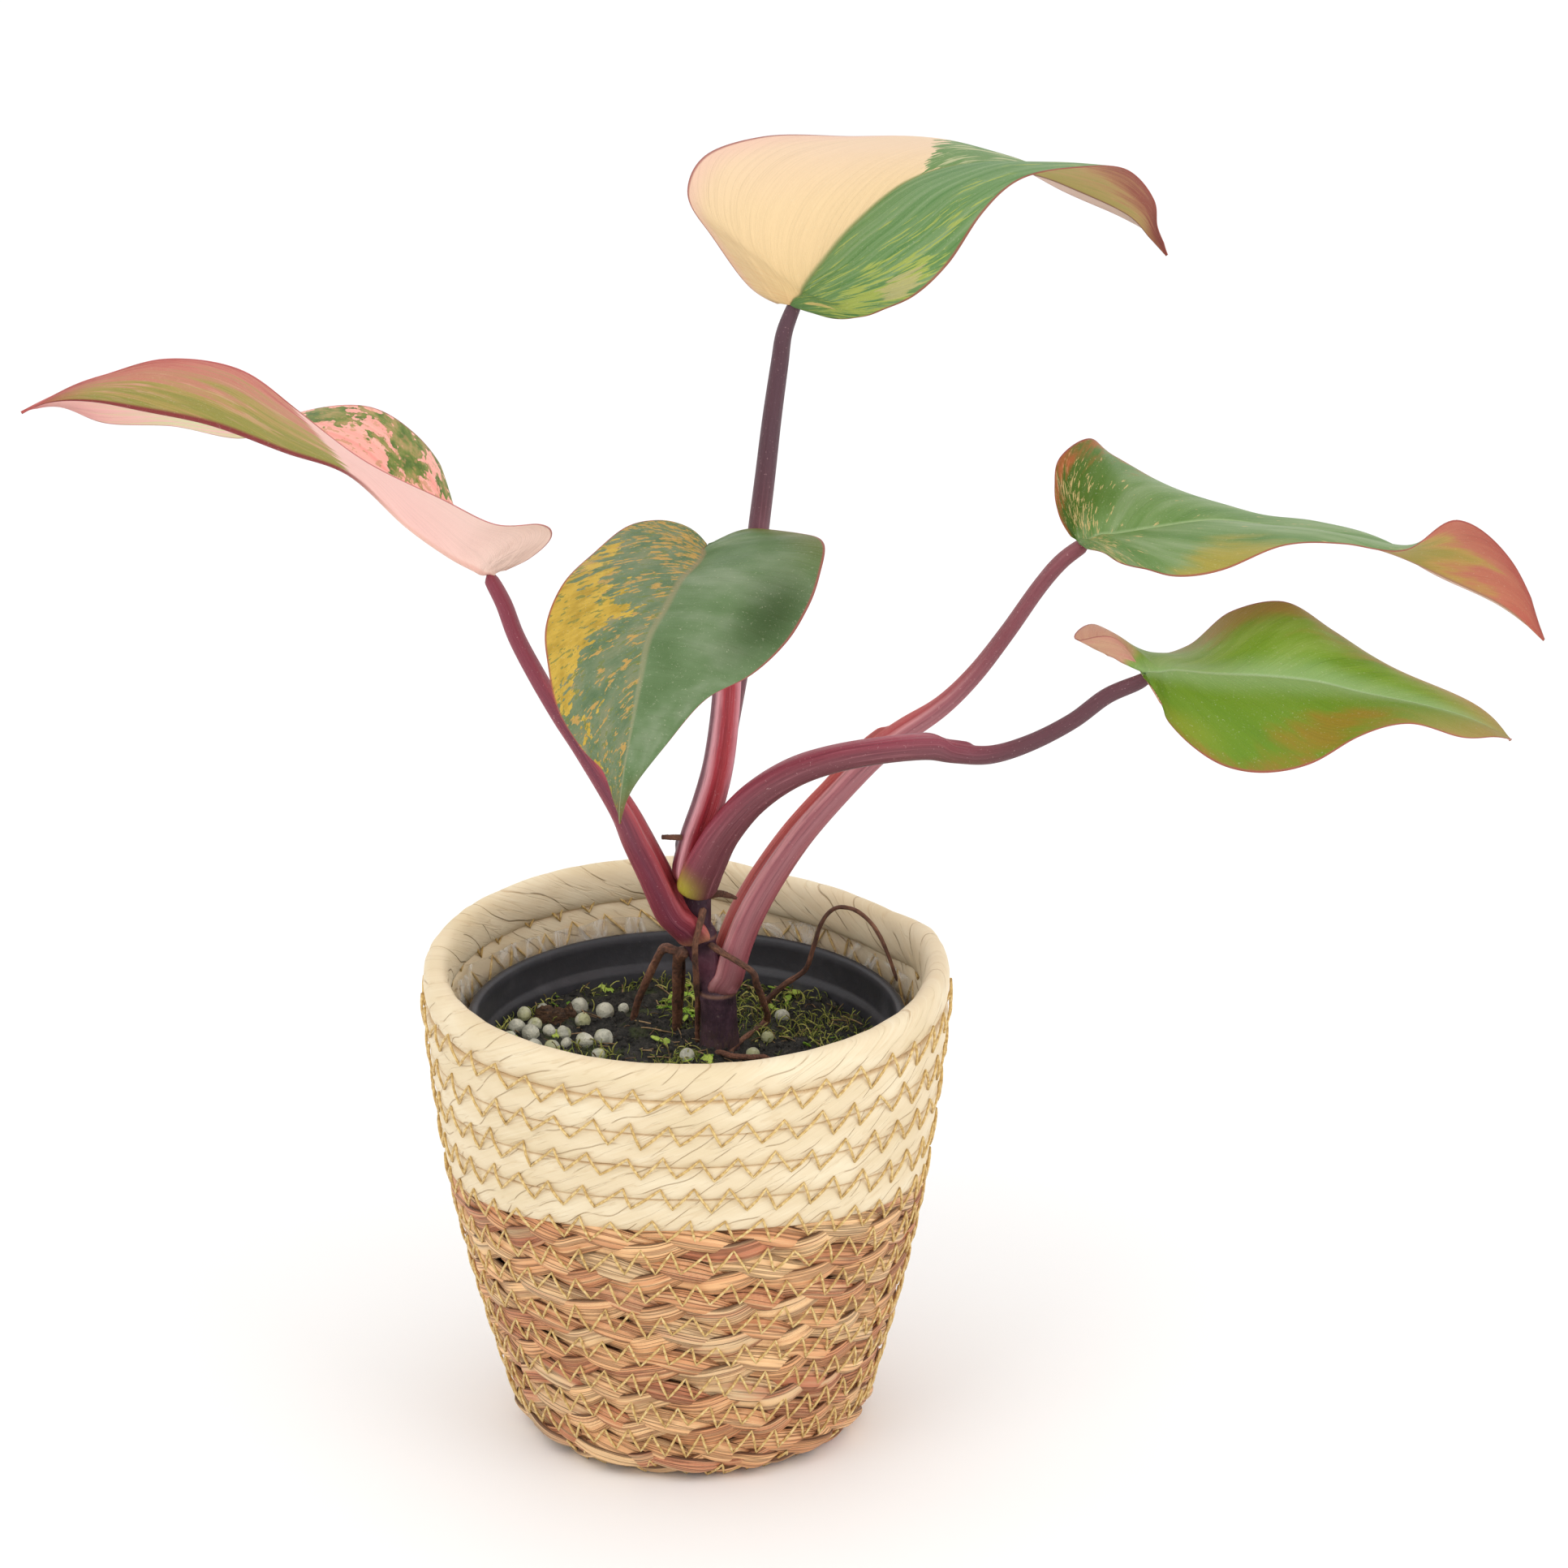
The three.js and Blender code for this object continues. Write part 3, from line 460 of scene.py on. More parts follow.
# Basket, cream band: five coils wound with flat strips of palm leaf, sewn flush to each other, the top one
# fuller as the basket's rounded rim.
CREAM_COILS = 5
CREAM_PITCH = (RIM_HEIGHT - BAND_HEIGHT) / CREAM_COILS
STRIP_TURNS = 35
STRIP_SLANT = 0.13
COIL_INSET = 0.8
SAG_INWARDS = 2.5
SAG_DOWN = 2.6
SAG_ANGLE = math.radians(52)


def wound_coils(root, given):
    """Rings of a wound coil with a flat outer face, with a step where each turn of the strip laps the next.
    The rim sags at one place."""
    sheets, coil, angle, girth = strand_sheets(root, given["Coils"], 420, 24)
    rim = coil.step(3.4, 3.6)
    around = angle.cos().vector(angle.sin(), coil * 2.3)
    half_height = CREAM_PITCH / 2 + 0.3 + rim * 0.1
    half_depth = 3.0 + rim * 0.5
    upright = girth.sin().sign() * girth.sin().size() ** (0.6 + 0.3 * rim) * half_height
    outward = girth.cos().sign() * girth.cos().size() ** (0.45 + 0.4 * rim) * half_depth
    level = BAND_HEIGHT + CREAM_PITCH * (coil + 0.5) - rim * 0.2
    uneven = (around.noise(2.2) - 0.5) * 3.2
    lap = angle * (STRIP_TURNS / math.tau) - upright * STRIP_SLANT + uneven + coil * 0.4
    pad = ((lap % 1) * math.pi).sin() ** 0.6
    fullness = (lap.floor() % STRIP_TURNS + coil * 50).chance()
    swell = pad * (0.4 + 0.3 * fullness) + (around.noise(7.0, 2) - 0.5) * 0.5
    slump = (around.noise(2.6) - 0.5) * 0.9
    sag = (angle - SAG_ANGLE).cos().step(0.8, 1.0) * rim
    radius = wall_radius(level + upright) - half_depth - COIL_INSET + outward * (1 + swell / 7)
    radius = radius - rim * 0.4 - sag * SAG_INWARDS
    height = level + upright * (1 + swell / 30) + slump - sag * SAG_DOWN
    sheets = keep(sheets, lap=lap, coil=coil, run=angle * 69, rise=upright)
    return closed(sheets, on_basket(radius, angle, swayed(height, angle, False)))


def palm(root):
    run = root.attribute("run")
    rise = root.attribute("rise")
    lap = root.attribute("lap")
    coil = root.attribute("coil")
    slant = run * 0.9 + rise * 0.44
    cross = rise * 0.9 - run * 0.44
    fibre = (slant * 0.03).vector(cross * 1.6, coil * 3).noise(1.0, 3, 0.5)
    crease = (slant * 0.035).vector(cross * 0.34, coil * 5).noise(1.0, 2, 0.5)
    cloud = (run * 0.03).vector(rise * 0.09, coil * 1.7).noise(1.3, 3)
    colour = cloud.ramp((0.3, 224, 205, 168), (0.5, 231, 213, 179), (0.7, 238, 224, 193))
    colour = colour.toned((1 - fibre).step(0.48, 0.7) * 0.2, 218, 190, 146)
    colour = colour.toned(fibre.step(0.56, 0.72) * 0.2, 250, 240, 216)
    broken = (slant * 0.1).vector(cross * 0.3, coil).noise(1.0, 2)
    sharp = (1 - ((crease - 0.5) * 40).size().step(0, 1)) * broken.step(0.44, 0.56)
    colour = colour.toned(sharp * 0.2, 200, 164, 112)
    edge = (lap % 1).step(0.93, 0.99) * (1 - broken).step(0.4, 0.54)
    colour = colour.toned(edge * 0.5, 184, 144, 92)
    # Painted shade: darker along the groove between two coils, but not on the rim's top.
    below_rim = 1 - coil.step(3.5, 3.6) * rise.step(0, 1)
    seam = (rise.size() / (CREAM_PITCH / 2)).step(0.88, 1.0) * below_rim
    colour = colour.toned(seam * 0.5, 190, 150, 100)
    relief = fibre * 0.2 - sharp * 0.2 - edge * 0.8
    return coat(colour, 0.48 + 0.2 * fibre, relief, 0.0004)


upper_coils = grow("basket_wound_wall", {"Coils": CREAM_COILS}, wound_coils,
                   surface("palm", palm, Specular_IOR_Level=0.3))
fit(upper_coils, "palm", "basket_cream_coils")


# Sewing thread: a golden zigzag over every seam between two coils, on the outside and, on the cream band,
# on the inside too. It lies on the coils and dives into them at each turn.
THREAD_RADIUS = 0.38
THREAD_REST = 0.42
THREAD_SIDES = 6
STITCH_PARTS = 4


def zigzag(root, given):
    turns = given["Turns"]
    ring = root.fresh("CurvePrimitiveCircle", Resolution=turns * 2)
    seams, seam = numbered(root, "seam", given["Seams"], ring)
    turn = root.fresh("SplineParameter").also("Index")
    draw = (turn + seam * 500 + given["Seed"] * 9000).chance()
    other = (turn + seam * 700 + given["Seed"] * 5000 + 0.5).chance()
    side = (turn % 2) * 2 - 1
    angle = (turn + 0.16 * side + (draw - 0.5) * 0.5 + seam * 0.37) * math.pi / turns
    level = given["First height"] + given["Pitch"] * seam
    around = angle.cos().vector(angle.sin(), seam * 1.3 + given["Seed"])
    height = level + side * (given["Reach"] + (other - 0.5) * 1.6) + (around.noise(2.6) - 0.5) * 1.2
    radius = wall_radius(height) - foot_tuck(height) + given["Offset"]
    upper = given["Upper"]
    true_height = swayed(height, angle, False) * upper + swayed(height, angle, True) * (1 - upper)
    place = on_basket(radius, angle, true_height.math("MAXIMUM", THREAD_REST))
    finer = seams.then("SetPosition", Position=place).then("SubdivideCurve", Cuts=STITCH_PARTS - 1)
    part = root.fresh("SplineParameter").also("Index") / STITCH_PARTS
    arch = ((part % 1) * math.pi).sin()
    outward = root.fresh("InputPosition").arrow("MULTIPLY", (1, 1, 0)).arrow("NORMALIZE")
    lift = outward.scaled((arch * 0.5 - 0.3) * given["Facing"] * MM)
    section = root.fresh("CurvePrimitiveCircle", Resolution=THREAD_SIDES, Radius=THREAD_RADIUS * MM)
    lifted = finer.then("SetPosition", Offset=lift)
    return lifted.then("CurveToMesh", Profile_Curve=section).then("SetShadeSmooth")


def thread(root):
    strand = root.place().noise(900, 2)
    colour = strand.ramp((0.3, 176, 138, 76), (0.5, 210, 176, 108), (0.7, 234, 208, 148))
    return {"Base Color": colour, "Roughness": 0.35 + 0.2 * strand}


thread_skin = surface("sewing_thread", thread, Specular_IOR_Level=0.5)
for name, slot, seams, first, pitch, stitch, reach, offset, facing, upper, seed in (
        ("thread_cream", "palm", CREAM_COILS, BAND_HEIGHT, CREAM_PITCH, 10.6, 3.6, -0.1, 1.0, 1.0, 1),
        ("thread_cream_inside", "palm", CREAM_COILS - 1, BAND_HEIGHT + CREAM_PITCH + 3, CREAM_PITCH,
         11.4, 4.2, -7.1, -1.0, 1.0, 2),
        ("thread_seagrass", "seagrass", SEAGRASS_COILS, SEAGRASS_FOOT, SEAGRASS_PITCH,
         7.8, 3.4, 0.0, 1.0, 0.0, 3)):
    turns = round(math.tau * wall_radius(first + pitch * seams / 2) / stitch)
    sewn = grow(name, {
        "Seams": seams, "Turns": turns, "First height": float(first), "Pitch": pitch, "Reach": reach,
        "Offset": offset, "Facing": facing, "Upper": upper, "Seed": seed}, zigzag, thread_skin)
    fit(sewn, slot)


# Film liner: a thin clear bag, sewn in below the rim, that keeps water off the basket. Its crinkled sleeve
# shows between the basket and the pot.
FILM_FOOT = 8.4
FILM_TOP = 122
FILM_GAUGE = 0.2
FILM_INSET = 7.3
FILM_CENTRE = 5


def film_radius(height):
    return wall_radius(height) - FILM_INSET


def crinkled(point):
    """The film stands off the basket in folds that grow towards its top."""
    radius = math.hypot(point.x, point.y)
    if radius < FILM_CENTRE:
        return point
    angle = math.atan2(point.y, point.x)
    around = Vector((math.cos(angle) * 5, math.sin(angle) * 5, point.z * 0.05))
    fold = noise.noise(around * 1.5) + 0.6 * noise.noise(around * 4 + Vector((7, 1, 3)))
    loose = min(1, max(0, (point.z - 60) / 50))
    moved = radius - loose * (0.9 + 1.3 * fold)
    rise = 2.2 * noise.noise(around * 0.8 + Vector((2, 9, 4))) * max(0, (point.z - 105) / 17)
    return Vector((moved * math.cos(angle), moved * math.sin(angle), point.z + rise))


film_heights = [FILM_FOOT, 30, 55, 75, *range(84, FILM_TOP + 1, 2)]
film_profile = [
    (0, FILM_FOOT),
    *((film_radius(height), height) for height in film_heights),
    *((film_radius(height) - FILM_GAUGE, height) for height in reversed(film_heights[1:])),
    (film_radius(FILM_FOOT) - FILM_GAUGE, FILM_FOOT + FILM_GAUGE),
    (0, FILM_FOOT + FILM_GAUGE),
]


def film(root):
    here = root.place()
    crinkle = here.arrow("MULTIPLY", (1, 1, 0.5)).noise(55, 3, 0.5, 1.5)
    # Painted highlight: the crinkles' ridges are whiter and more opaque, as glints on the film.
    ridge_glint = 1 - ((crinkle - 0.5) * 14).size().step(0, 1)
    haze = here.noise(45, 3).step(0.45, 0.75)
    colour = ridge_glint.blend(tint(214, 206, 190), tint(255, 252, 244))
    return {"Base Color": colour, "Alpha": 0.05 + 0.12 * haze + 0.24 * ridge_glint, "Roughness": 0.1 + 0.15 * haze,
            "Normal": bumps(crinkle, 0.0016)}


liner = piece_of("film_sleeve", turned("film_sleeve", film_profile, 200, crinkled), surface(
    "clear_film", film, Specular_IOR_Level=0.7))
fit(liner, "film", "film_liner")


# Nursery pot: thin moulded plastic, black and satin, with a stepped collar and a rolled lip, and some dried
# soil dust on it. Its grey cloudy patches are partly dust and partly a painted sheen.
POT_FOOT = 9.2
POT_TOP = 119
POT_COLLAR = 108


def arc(centre, radius, start, end, steps):
    """Points of an arc in the radius and height plane; angles in degrees."""
    angles = [math.radians(start + (end - start) * step / steps) for step in range(steps + 1)]
    return [(centre[0] + radius * math.cos(angle), centre[1] + radius * math.sin(angle)) for angle in angles]


pot_profile = [
    (0, POT_FOOT),
    *arc((36.6, POT_FOOT + 1.4), 1.4, -90, 0, 4),
    (56.3, POT_COLLAR - 1.6),
    *arc((57.6, POT_COLLAR + 0.7), 1.6, -60, 0, 4),
    (59.3, POT_TOP - 3.2),
    *arc((58.5, POT_TOP - 1.5), 1.5, -30, 150, 9),
    (57, POT_TOP - 2.6),
    (56.8, POT_COLLAR + 2.8),
    (56.4, POT_COLLAR + 1.9),
    (55.5, POT_COLLAR + 1.2),
    (55.2, POT_COLLAR),
    (36.7, POT_FOOT + 1.7),
    (0, POT_FOOT + 1.7),
]


def black_plastic(root):
    here = root.place()
    # Grey cloudy patches: partly dust, partly a painted bluish sheen; the same cloud roughens the surface.
    dust_and_sheen = here.noise(60, 5, 0.65)
    specks = here.noise(1400, 2, 0.7).step(0.66, 0.74)
    streak = here.noise(24, 3).step(0.45, 0.7)
    colour = (dust_and_sheen.step(0.45, 0.75) * 0.35).blend(tint(47, 47, 53), tint(96, 95, 101))
    colour = colour.toned(specks * 0.5 * streak, 150, 140, 124)
    return coat(colour, 0.32 + 0.25 * dust_and_sheen + 0.2 * specks, dust_and_sheen, 0.0004)


pot = piece_of("pot", turned("pot", pot_profile, 160), surface("black_plastic", black_plastic))
fit(pot, "black_plastic", "nursery_pot")


# Potting soil: moist black peat that fills the pot to below its collar, with an uneven, crumbly top.
SOIL_FOOT = 11.6
SOIL_LEVEL = 105.5
SOIL_RADIUS = 54.2
SOIL_FOOT_RADIUS = 36
SOIL_RINGS = 72


def soil_top(x, y):
    """Height of the soil in mm."""
    swell = 1.1 * (math.sin(0.19 * x + 0.7) * math.cos(0.16 * y) + 0.6 * math.sin(0.33 * x - 0.29 * y))
    place = Vector((x, y, 3))
    clods = 1.3 * noise.noise(place * 0.35) + 0.9 * abs(noise.noise(place * 0.9))
    return SOIL_LEVEL + swell + clods + 0.5 * noise.noise(place * 2.2)


def crumbly(point):
    return point if point.z < SOIL_LEVEL else Vector((point.x, point.y, soil_top(point.x, point.y)))


def peat(root):
    here = root.place()
    clod = here.noise(420, 5, 0.7)
    fleck = here.noise(1500, 3, 0.7)
    colour = clod.ramp((0.3, 32, 31, 31), (0.55, 66, 64, 60), (0.75, 100, 94, 84))
    colour = colour.toned(fleck.step(0.64, 0.72) * 0.6, 136, 122, 100)
    damp = here.noise(70, 2).step(0.4, 0.7)
    algae = here.noise(95, 4, 0.65).step(0.54, 0.66)
    colour = colour.toned(algae * 0.4, 84, 100, 42)
    return coat(colour, 0.95 - 0.35 * damp, clod + fleck * 0.4, 0.0025)


soil_rings = [SOIL_RADIUS * math.sqrt(1 - step / SOIL_RINGS) for step in range(SOIL_RINGS)]
soil_profile = [(0, SOIL_FOOT), (SOIL_FOOT_RADIUS, SOIL_FOOT), (SOIL_RADIUS - 0.8, SOIL_LEVEL - 4),
                *((radius, SOIL_LEVEL) for radius in soil_rings), (0, SOIL_LEVEL)]
peat_skin = surface("peat", peat, Specular_IOR_Level=0.3)
soil_mesh = turned("soil", soil_profile, 180, crumbly)
soil = piece_of("soil", soil_mesh, peat_skin)
fit(soil, "peat", "potting_soil")


# Crumbs of peat, moss, fallen fibres and seedlings: what lies and grows on the soil, scattered by one rule
# with its own piece, number and size for each.
def soil_points(root, given, patch_scale, patch_low):
    """Points on the soil's top, more in some patches than in others."""
    here = root.fresh("InputPosition")
    facing = root.fresh("InputNormal").parts().also("Z")
    height = here.parts().also("Z")
    patch = here.arrow("ADD", (0.31, 0.17, 0.05)).noise(patch_scale, 3).step(patch_low, patch_low + 0.12)
    density = patch * given["Density"] * height.step(0.099, 0.1) * facing.step(0.1, 0.2)
    return given["Geometry"].then("DistributePointsOnFaces", Density=density, Seed=given["Seed"])


def scattered(root, given, points, shape, tilt, least, flatten=1.0):
    """The shape on each point, turned any way and up to a tilt, between the least and full size; each keeps
    a draw for its colour."""
    source = {"ID": root.fresh("InputIndex"), "Seed": given["Seed"]}

    def draw(low, high, kind="FLOAT"):
        return root.node("FunctionNodeRandomValue", {"data_type": kind}, {"Min": low, "Max": high, **source})

    turned_by = draw((-tilt, -tilt, 0), (tilt, tilt, math.tau), "FLOAT_VECTOR")
    size = draw(least, 1.0) * given["Size"] * MM
    scale = size.vector(size, size * flatten)
    copies = points.then("InstanceOnPoints", Instance=shape, Rotation=turned_by, Scale=scale)
    return copies.stored("draw", draw(0.0, 1.0))


def pushed(instances, scale, depth):
    """Each copy pushed out of shape by a cloud, so that no two are alike."""
    real = instances.then("RealizeInstances")
    here = real.fresh("InputPosition")
    push = here.node("ShaderNodeTexNoise", values={"Vector": here, "Scale": scale}).also("Color")
    offset = push.arrow("SUBTRACT", (0.5, 0.5, 0.5)).scaled(depth)
    return real.then("SetPosition", Offset=offset).then("SetShadeSmooth")


def lumps(root, given):
    ball = root.fresh("MeshIcoSphere", Radius=1.0, Subdivisions=1)
    crumbs = scattered(root, given, soil_points(root, given, 60, 0.3), ball, 0.6, 0.25, 0.75)
    return pushed(crumbs, 900.0, 0.0011)


def curled_strand(root, length, bend):
    """Thin tapering strand with three sides that rises and curls over."""
    line = root.fresh("CurveQuadraticBezier", Resolution=4, Start=(0, 0, -0.06),
                      Middle=(bend * 0.2, 0, length * 0.7), End=(bend, bend * 0.3, length * 0.75))
    factor = root.fresh("SplineParameter").also("Factor")
    ring = root.fresh("CurvePrimitiveCircle", Resolution=3, Radius=0.05)
    taper = line.then("SetCurveRadius", Radius=1.05 - factor)
    return taper.then("CurveToMesh", Profile_Curve=ring, Fill_Caps=True)


def moss_strands(root, given):
    strand = curled_strand(root, 0.9, 0.7)
    return scattered(root, given, soil_points(root, given, 48, 0.46), strand, 0.9, 0.35)


def fallen_fibres(root, given):
    strand = curled_strand(root, 0.16, 1.3)
    return scattered(root, given, soil_points(root, given, 90, 0.35), strand, 0.25, 0.3)


def leaflets(root, given):
    leaf = root.fresh("MeshUVSphere", Segments=8, Rings=5, Radius=1.0)
    return scattered(root, given, soil_points(root, given, 70, 0.55), leaf, 0.8, 0.4, 0.2)


def drawn_colour(*stops):
    def pattern(root):
        grain = root.place().noise(1300, 3, 0.6)
        colour = root.attribute("draw").ramp(*stops)
        colour = colour.toned((1 - grain).step(0.45, 0.7) * 0.5, 52, 46, 26)
        return {"Base Color": colour, "Roughness": 0.55 + 0.3 * grain}
    return pattern


moss_green = drawn_colour((0.0, 58, 72, 28), (0.45, 108, 124, 44), (0.75, 156, 162, 70),
                          (0.9, 196, 192, 104), (1.0, 92, 66, 40))
fibre_brown = drawn_colour((0.0, 70, 52, 36), (0.5, 122, 92, 62), (1.0, 176, 146, 104))
seedling_green = drawn_colour((0.0, 92, 134, 32), (0.5, 134, 178, 44), (1.0, 190, 208, 92))
for name, build, density, size, seed, skin in (
        ("peat_crumbs", lumps, 200000.0, 0.95, 4, peat_skin),
        ("moss", moss_strands, 420000.0, 3.8, 5, surface("moss", moss_green)),
        ("fallen_fibres", fallen_fibres, 30000.0, 5.0, 6, surface("fallen_fibres", fibre_brown)),
        ("seedlings", leaflets, 90000.0, 2.3, 7, surface("seedlings", seedling_green))):
    scatter = grow(name, {"Density": density, "Size": size, "Seed": seed}, build, skin, soil_mesh.copy())
    fit(scatter, "peat")


# Granules and bark: pale round slow-release granules, some with a green film of algae, and a lump of bark
# behind them. They lie in the soil's top.
GRANULE_RADIUS = 2.7
GRANULE_SPOTS = [
    (-40, 31), (-45, 24), (-47, 19), (-49, 12), (-42, 20), (-43, 13), (-42, 6), (-38, 15), (-37, 7),
    (-33, 9), (-34, 16), (-28, 6), (-30, 32), (-29, 25), (-23, 30), (-18, 34), (-23, 11), (-24, -1),
    (-28, -6), (0, -3), (26, 25), (22, 12), (18, 4), (-12, -16), (9, -24), (-30, -24), (30, -20),
    (41, -8), (-5, -38), (24, -38),
]
BARK_SPOTS = [(-36, 26), (-33, 29), (-39, 28)]


def spots_mesh(name, spots, sink):
    mesh = bpy.data.meshes.new(name)
    mesh.from_pydata([Vector((x, y, soil_top(x, y) + sink)) * MM for x, y in spots], [], [])
    return mesh


def granules(root, given):
    ball = root.fresh("MeshIcoSphere", Radius=1.0, Subdivisions=3)
    balls = scattered(root, given, given["Geometry"].then("MeshToPoints"), ball, 3.0, 0.62, 0.92)
    return pushed(balls, given["Lump scale"], given["Lump depth"] * MM)


def granule_skin(root):
    here = root.place()
    cloud = here.noise(330, 4, 0.6)
    speck = here.noise(1700, 2, 0.6).step(0.62, 0.7)
    stain = here.noise(120, 3).step(0.48, 0.62)
    colour = cloud.ramp((0.3, 150, 150, 136), (0.5, 188, 187, 170), (0.7, 216, 213, 194))
    colour = colour.toned(stain * 0.65, 172, 174, 112)
    colour = colour.toned(speck * 0.5, 84, 80, 66)
    return coat(colour, 0.6 + 0.2 * cloud, cloud, 0.0012)


def bark_skin(root):
    here = root.place()
    layer = here.arrow("MULTIPLY", (1, 1, 4)).noise(300, 5, 0.7)
    colour = layer.ramp((0.3, 38, 26, 18), (0.5, 92, 64, 42), (0.72, 150, 112, 76))
    return coat(colour, 0.8 + 0.1 * layer, layer, 0.003)


for name, spots, size, scale, depth, seed, skin in (
        ("granules", GRANULE_SPOTS, GRANULE_RADIUS, 330.0, 0.9, 8, surface("granules", granule_skin)),
        ("bark_lump", BARK_SPOTS, 3.9, 420.0, 4.2, 9, surface("bark", bark_skin))):
    sizes = {"Size": size, "Lump scale": scale, "Lump depth": depth, "Seed": seed}
    grains = grow(name, sizes, granules, skin, spots_mesh(name, spots, 0.9))
    fit(grains, "peat")


# Stem: dark purple, with a grey bloom and a swollen ring at each node. Its foot is brown and corky in the
# soil.
STEM_NODES = (122.6, 139.4, 153.4, 165.0)
STEM_PATH = [
    (9.2, 8.2, 96, 5.2), (8.9, 7.9, 105.5, 5.5), (8.8, 7.6, 112, 5.1), (8.6, 7.2, 119, 4.9),
    (8.2, 7.1, 122.4, 5.2), (7.7, 7, 124.6, 4.5), (7.2, 7, 127, 4.2), (5.4, 7, 132, 4.1),
    (3.8, 7, 136, 4.3), (3.4, 6.9, 139.2, 4.8), (3.1, 6.7, 141.2, 4.2), (2.9, 6.6, 143, 3.8),
    (2.7, 6.2, 151, 4.1), (2.5, 6.3, 153.4, 4.5), (2.2, 6.4, 155.4, 4), (1.6, 6.6, 158, 3.8),
    (1.2, 6.9, 162, 3.9), (1, 7, 166, 4), (1, 7.2, 168, 3.2),
]


def path_mesh(name, path):
    """Chain of points with a girth each, in mm."""
    mesh = bpy.data.meshes.new(name)
    links = [(place, place + 1) for place in range(len(path) - 1)]
    mesh.from_pydata([Vector(point[:3]) * MM for point in path], links, [])
    girths = mesh.attributes.new("girth", "FLOAT", "POINT")
    girths.data.foreach_set("value", [point[3] * MM for point in path])
    return mesh


def limb(root, given):
    """Limb along a path, round or with a channel between two lips on the side that it faces."""
    curve = given["Geometry"].then("MeshToCurve").then("CurveSplineType", {"spline_type": "CATMULL_ROM"})
    sheet = unit_sheet(root, given["Steps"], given["Sides"])
    place = root.fresh("InputPosition").parts()
    along = place + 0.5
    turn = place.also("Y") * math.tau
    girth = root.fresh("InputNamedAttribute", {"data_type": "FLOAT"}, Name="girth")
    sample = curve.then("SampleCurve", {"mode": "FACTOR", "data_type": "FLOAT"}, Value=girth, Factor=along)
    tangent = sample.also("Tangent")
    facing = given["Facing X"].vector(given["Facing Y"], given["Facing Z"])
    front = facing.arrow("SUBTRACT", tangent.scaled(facing.arrow("DOT_PRODUCT", tangent))).arrow("NORMALIZE")
    side = front.arrow("CROSS_PRODUCT", tangent)
    open_part = 1 - along.step(given["Sheath end"] - 0.12, given["Sheath end"])
    depth = given["Channel"] * (0.25 + 0.75 * open_part)
    past = along - given["Sheath end"]
    ligule = past.step(-0.14, -0.02) * (1 - past.step(-0.008, 0.012)) * given["Ligule"]
    lips = turn.size().bell(0.86, 0.42) * (given["Lip"] * (0.3 + 0.7 * open_part) + ligule)
    skin = turn.cos().vector(turn.sin(), along * given["Wrinkle length"])
    rough = (skin.noise(1.6, 3, 0.6) - 0.5) * given["Wrinkle"]
    end = along.math("MINIMUM", 1 - along) * given["Steps"] / 2.5
    cap = (1 - (1 - end.math("MINIMUM", 1)) ** 2).math("MAXIMUM", 0) ** 0.5
    reach = sample * cap * (1 - depth * turn.bell(0, 0.9) + lips + rough)
    position = sample.also("Position").arrow("ADD", front.scaled(reach * turn.cos())).arrow(
        "ADD", side.scaled(reach * turn.sin()))
    return closed(keep(sheet, along=along, turn=turn), position)


def limb_piece(name, path, material, facing, steps, sides, wrinkle, wrinkle_length, shape=None):
    """Limb grown along a path. The shape may give a channel, its lips, a ligule and the sheath's end."""
    sizes = {"Channel": 0.0, "Lip": 0.0, "Ligule": 0.0, "Sheath end": 0.5, **(shape or {})}
    sizes |= {f"Facing {axis}": value for axis, value in zip("XYZ", facing)}
    sizes |= {"Steps": steps, "Sides": sides, "Wrinkle": wrinkle, "Wrinkle length": wrinkle_length}
    return grow(name, sizes, limb, material, path_mesh(name, path))


def bloomed_stem(root):
    here = root.place()
    height = here.parts().also("Z") / MM
    cloud = here.noise(160, 4, 0.6)
    grain = here.arrow("MULTIPLY", (1, 1, 0.25)).noise(1500, 3, 0.6)
    colour = cloud.ramp((0.3, 46, 32, 42), (0.5, 70, 48, 60), (0.7, 98, 72, 84))
    colour = colour.toned(height.bell(131, 8) * 0.45 * cloud.step(0.3, 0.6), 120, 58, 76)
    foot = 1 - height.step(106, 116)
    colour = colour.toned(foot * 0.65 * grain.step(0.35, 0.6), 84, 66, 54)
    for node in STEM_NODES:
        colour = colour.toned(height.bell(node, 0.9) * 0.75, 142, 104, 86)
    speck = here.noise(1100, 2).step(0.66, 0.74)
    colour = colour.toned(speck * 0.4, 150, 134, 128)
    return coat(colour, 0.36 + 0.3 * cloud + foot * 0.2, grain + cloud, 0.0005)


stem = limb_piece("stem_skin", STEM_PATH, surface("stem_skin", bloomed_stem, Specular_IOR_Level=0.35),
                  (0.0, -1.0, 0.0), steps=150, sides=48, wrinkle=0.1, wrinkle_length=7.0)
fit(stem, "stem_skin", "stem")


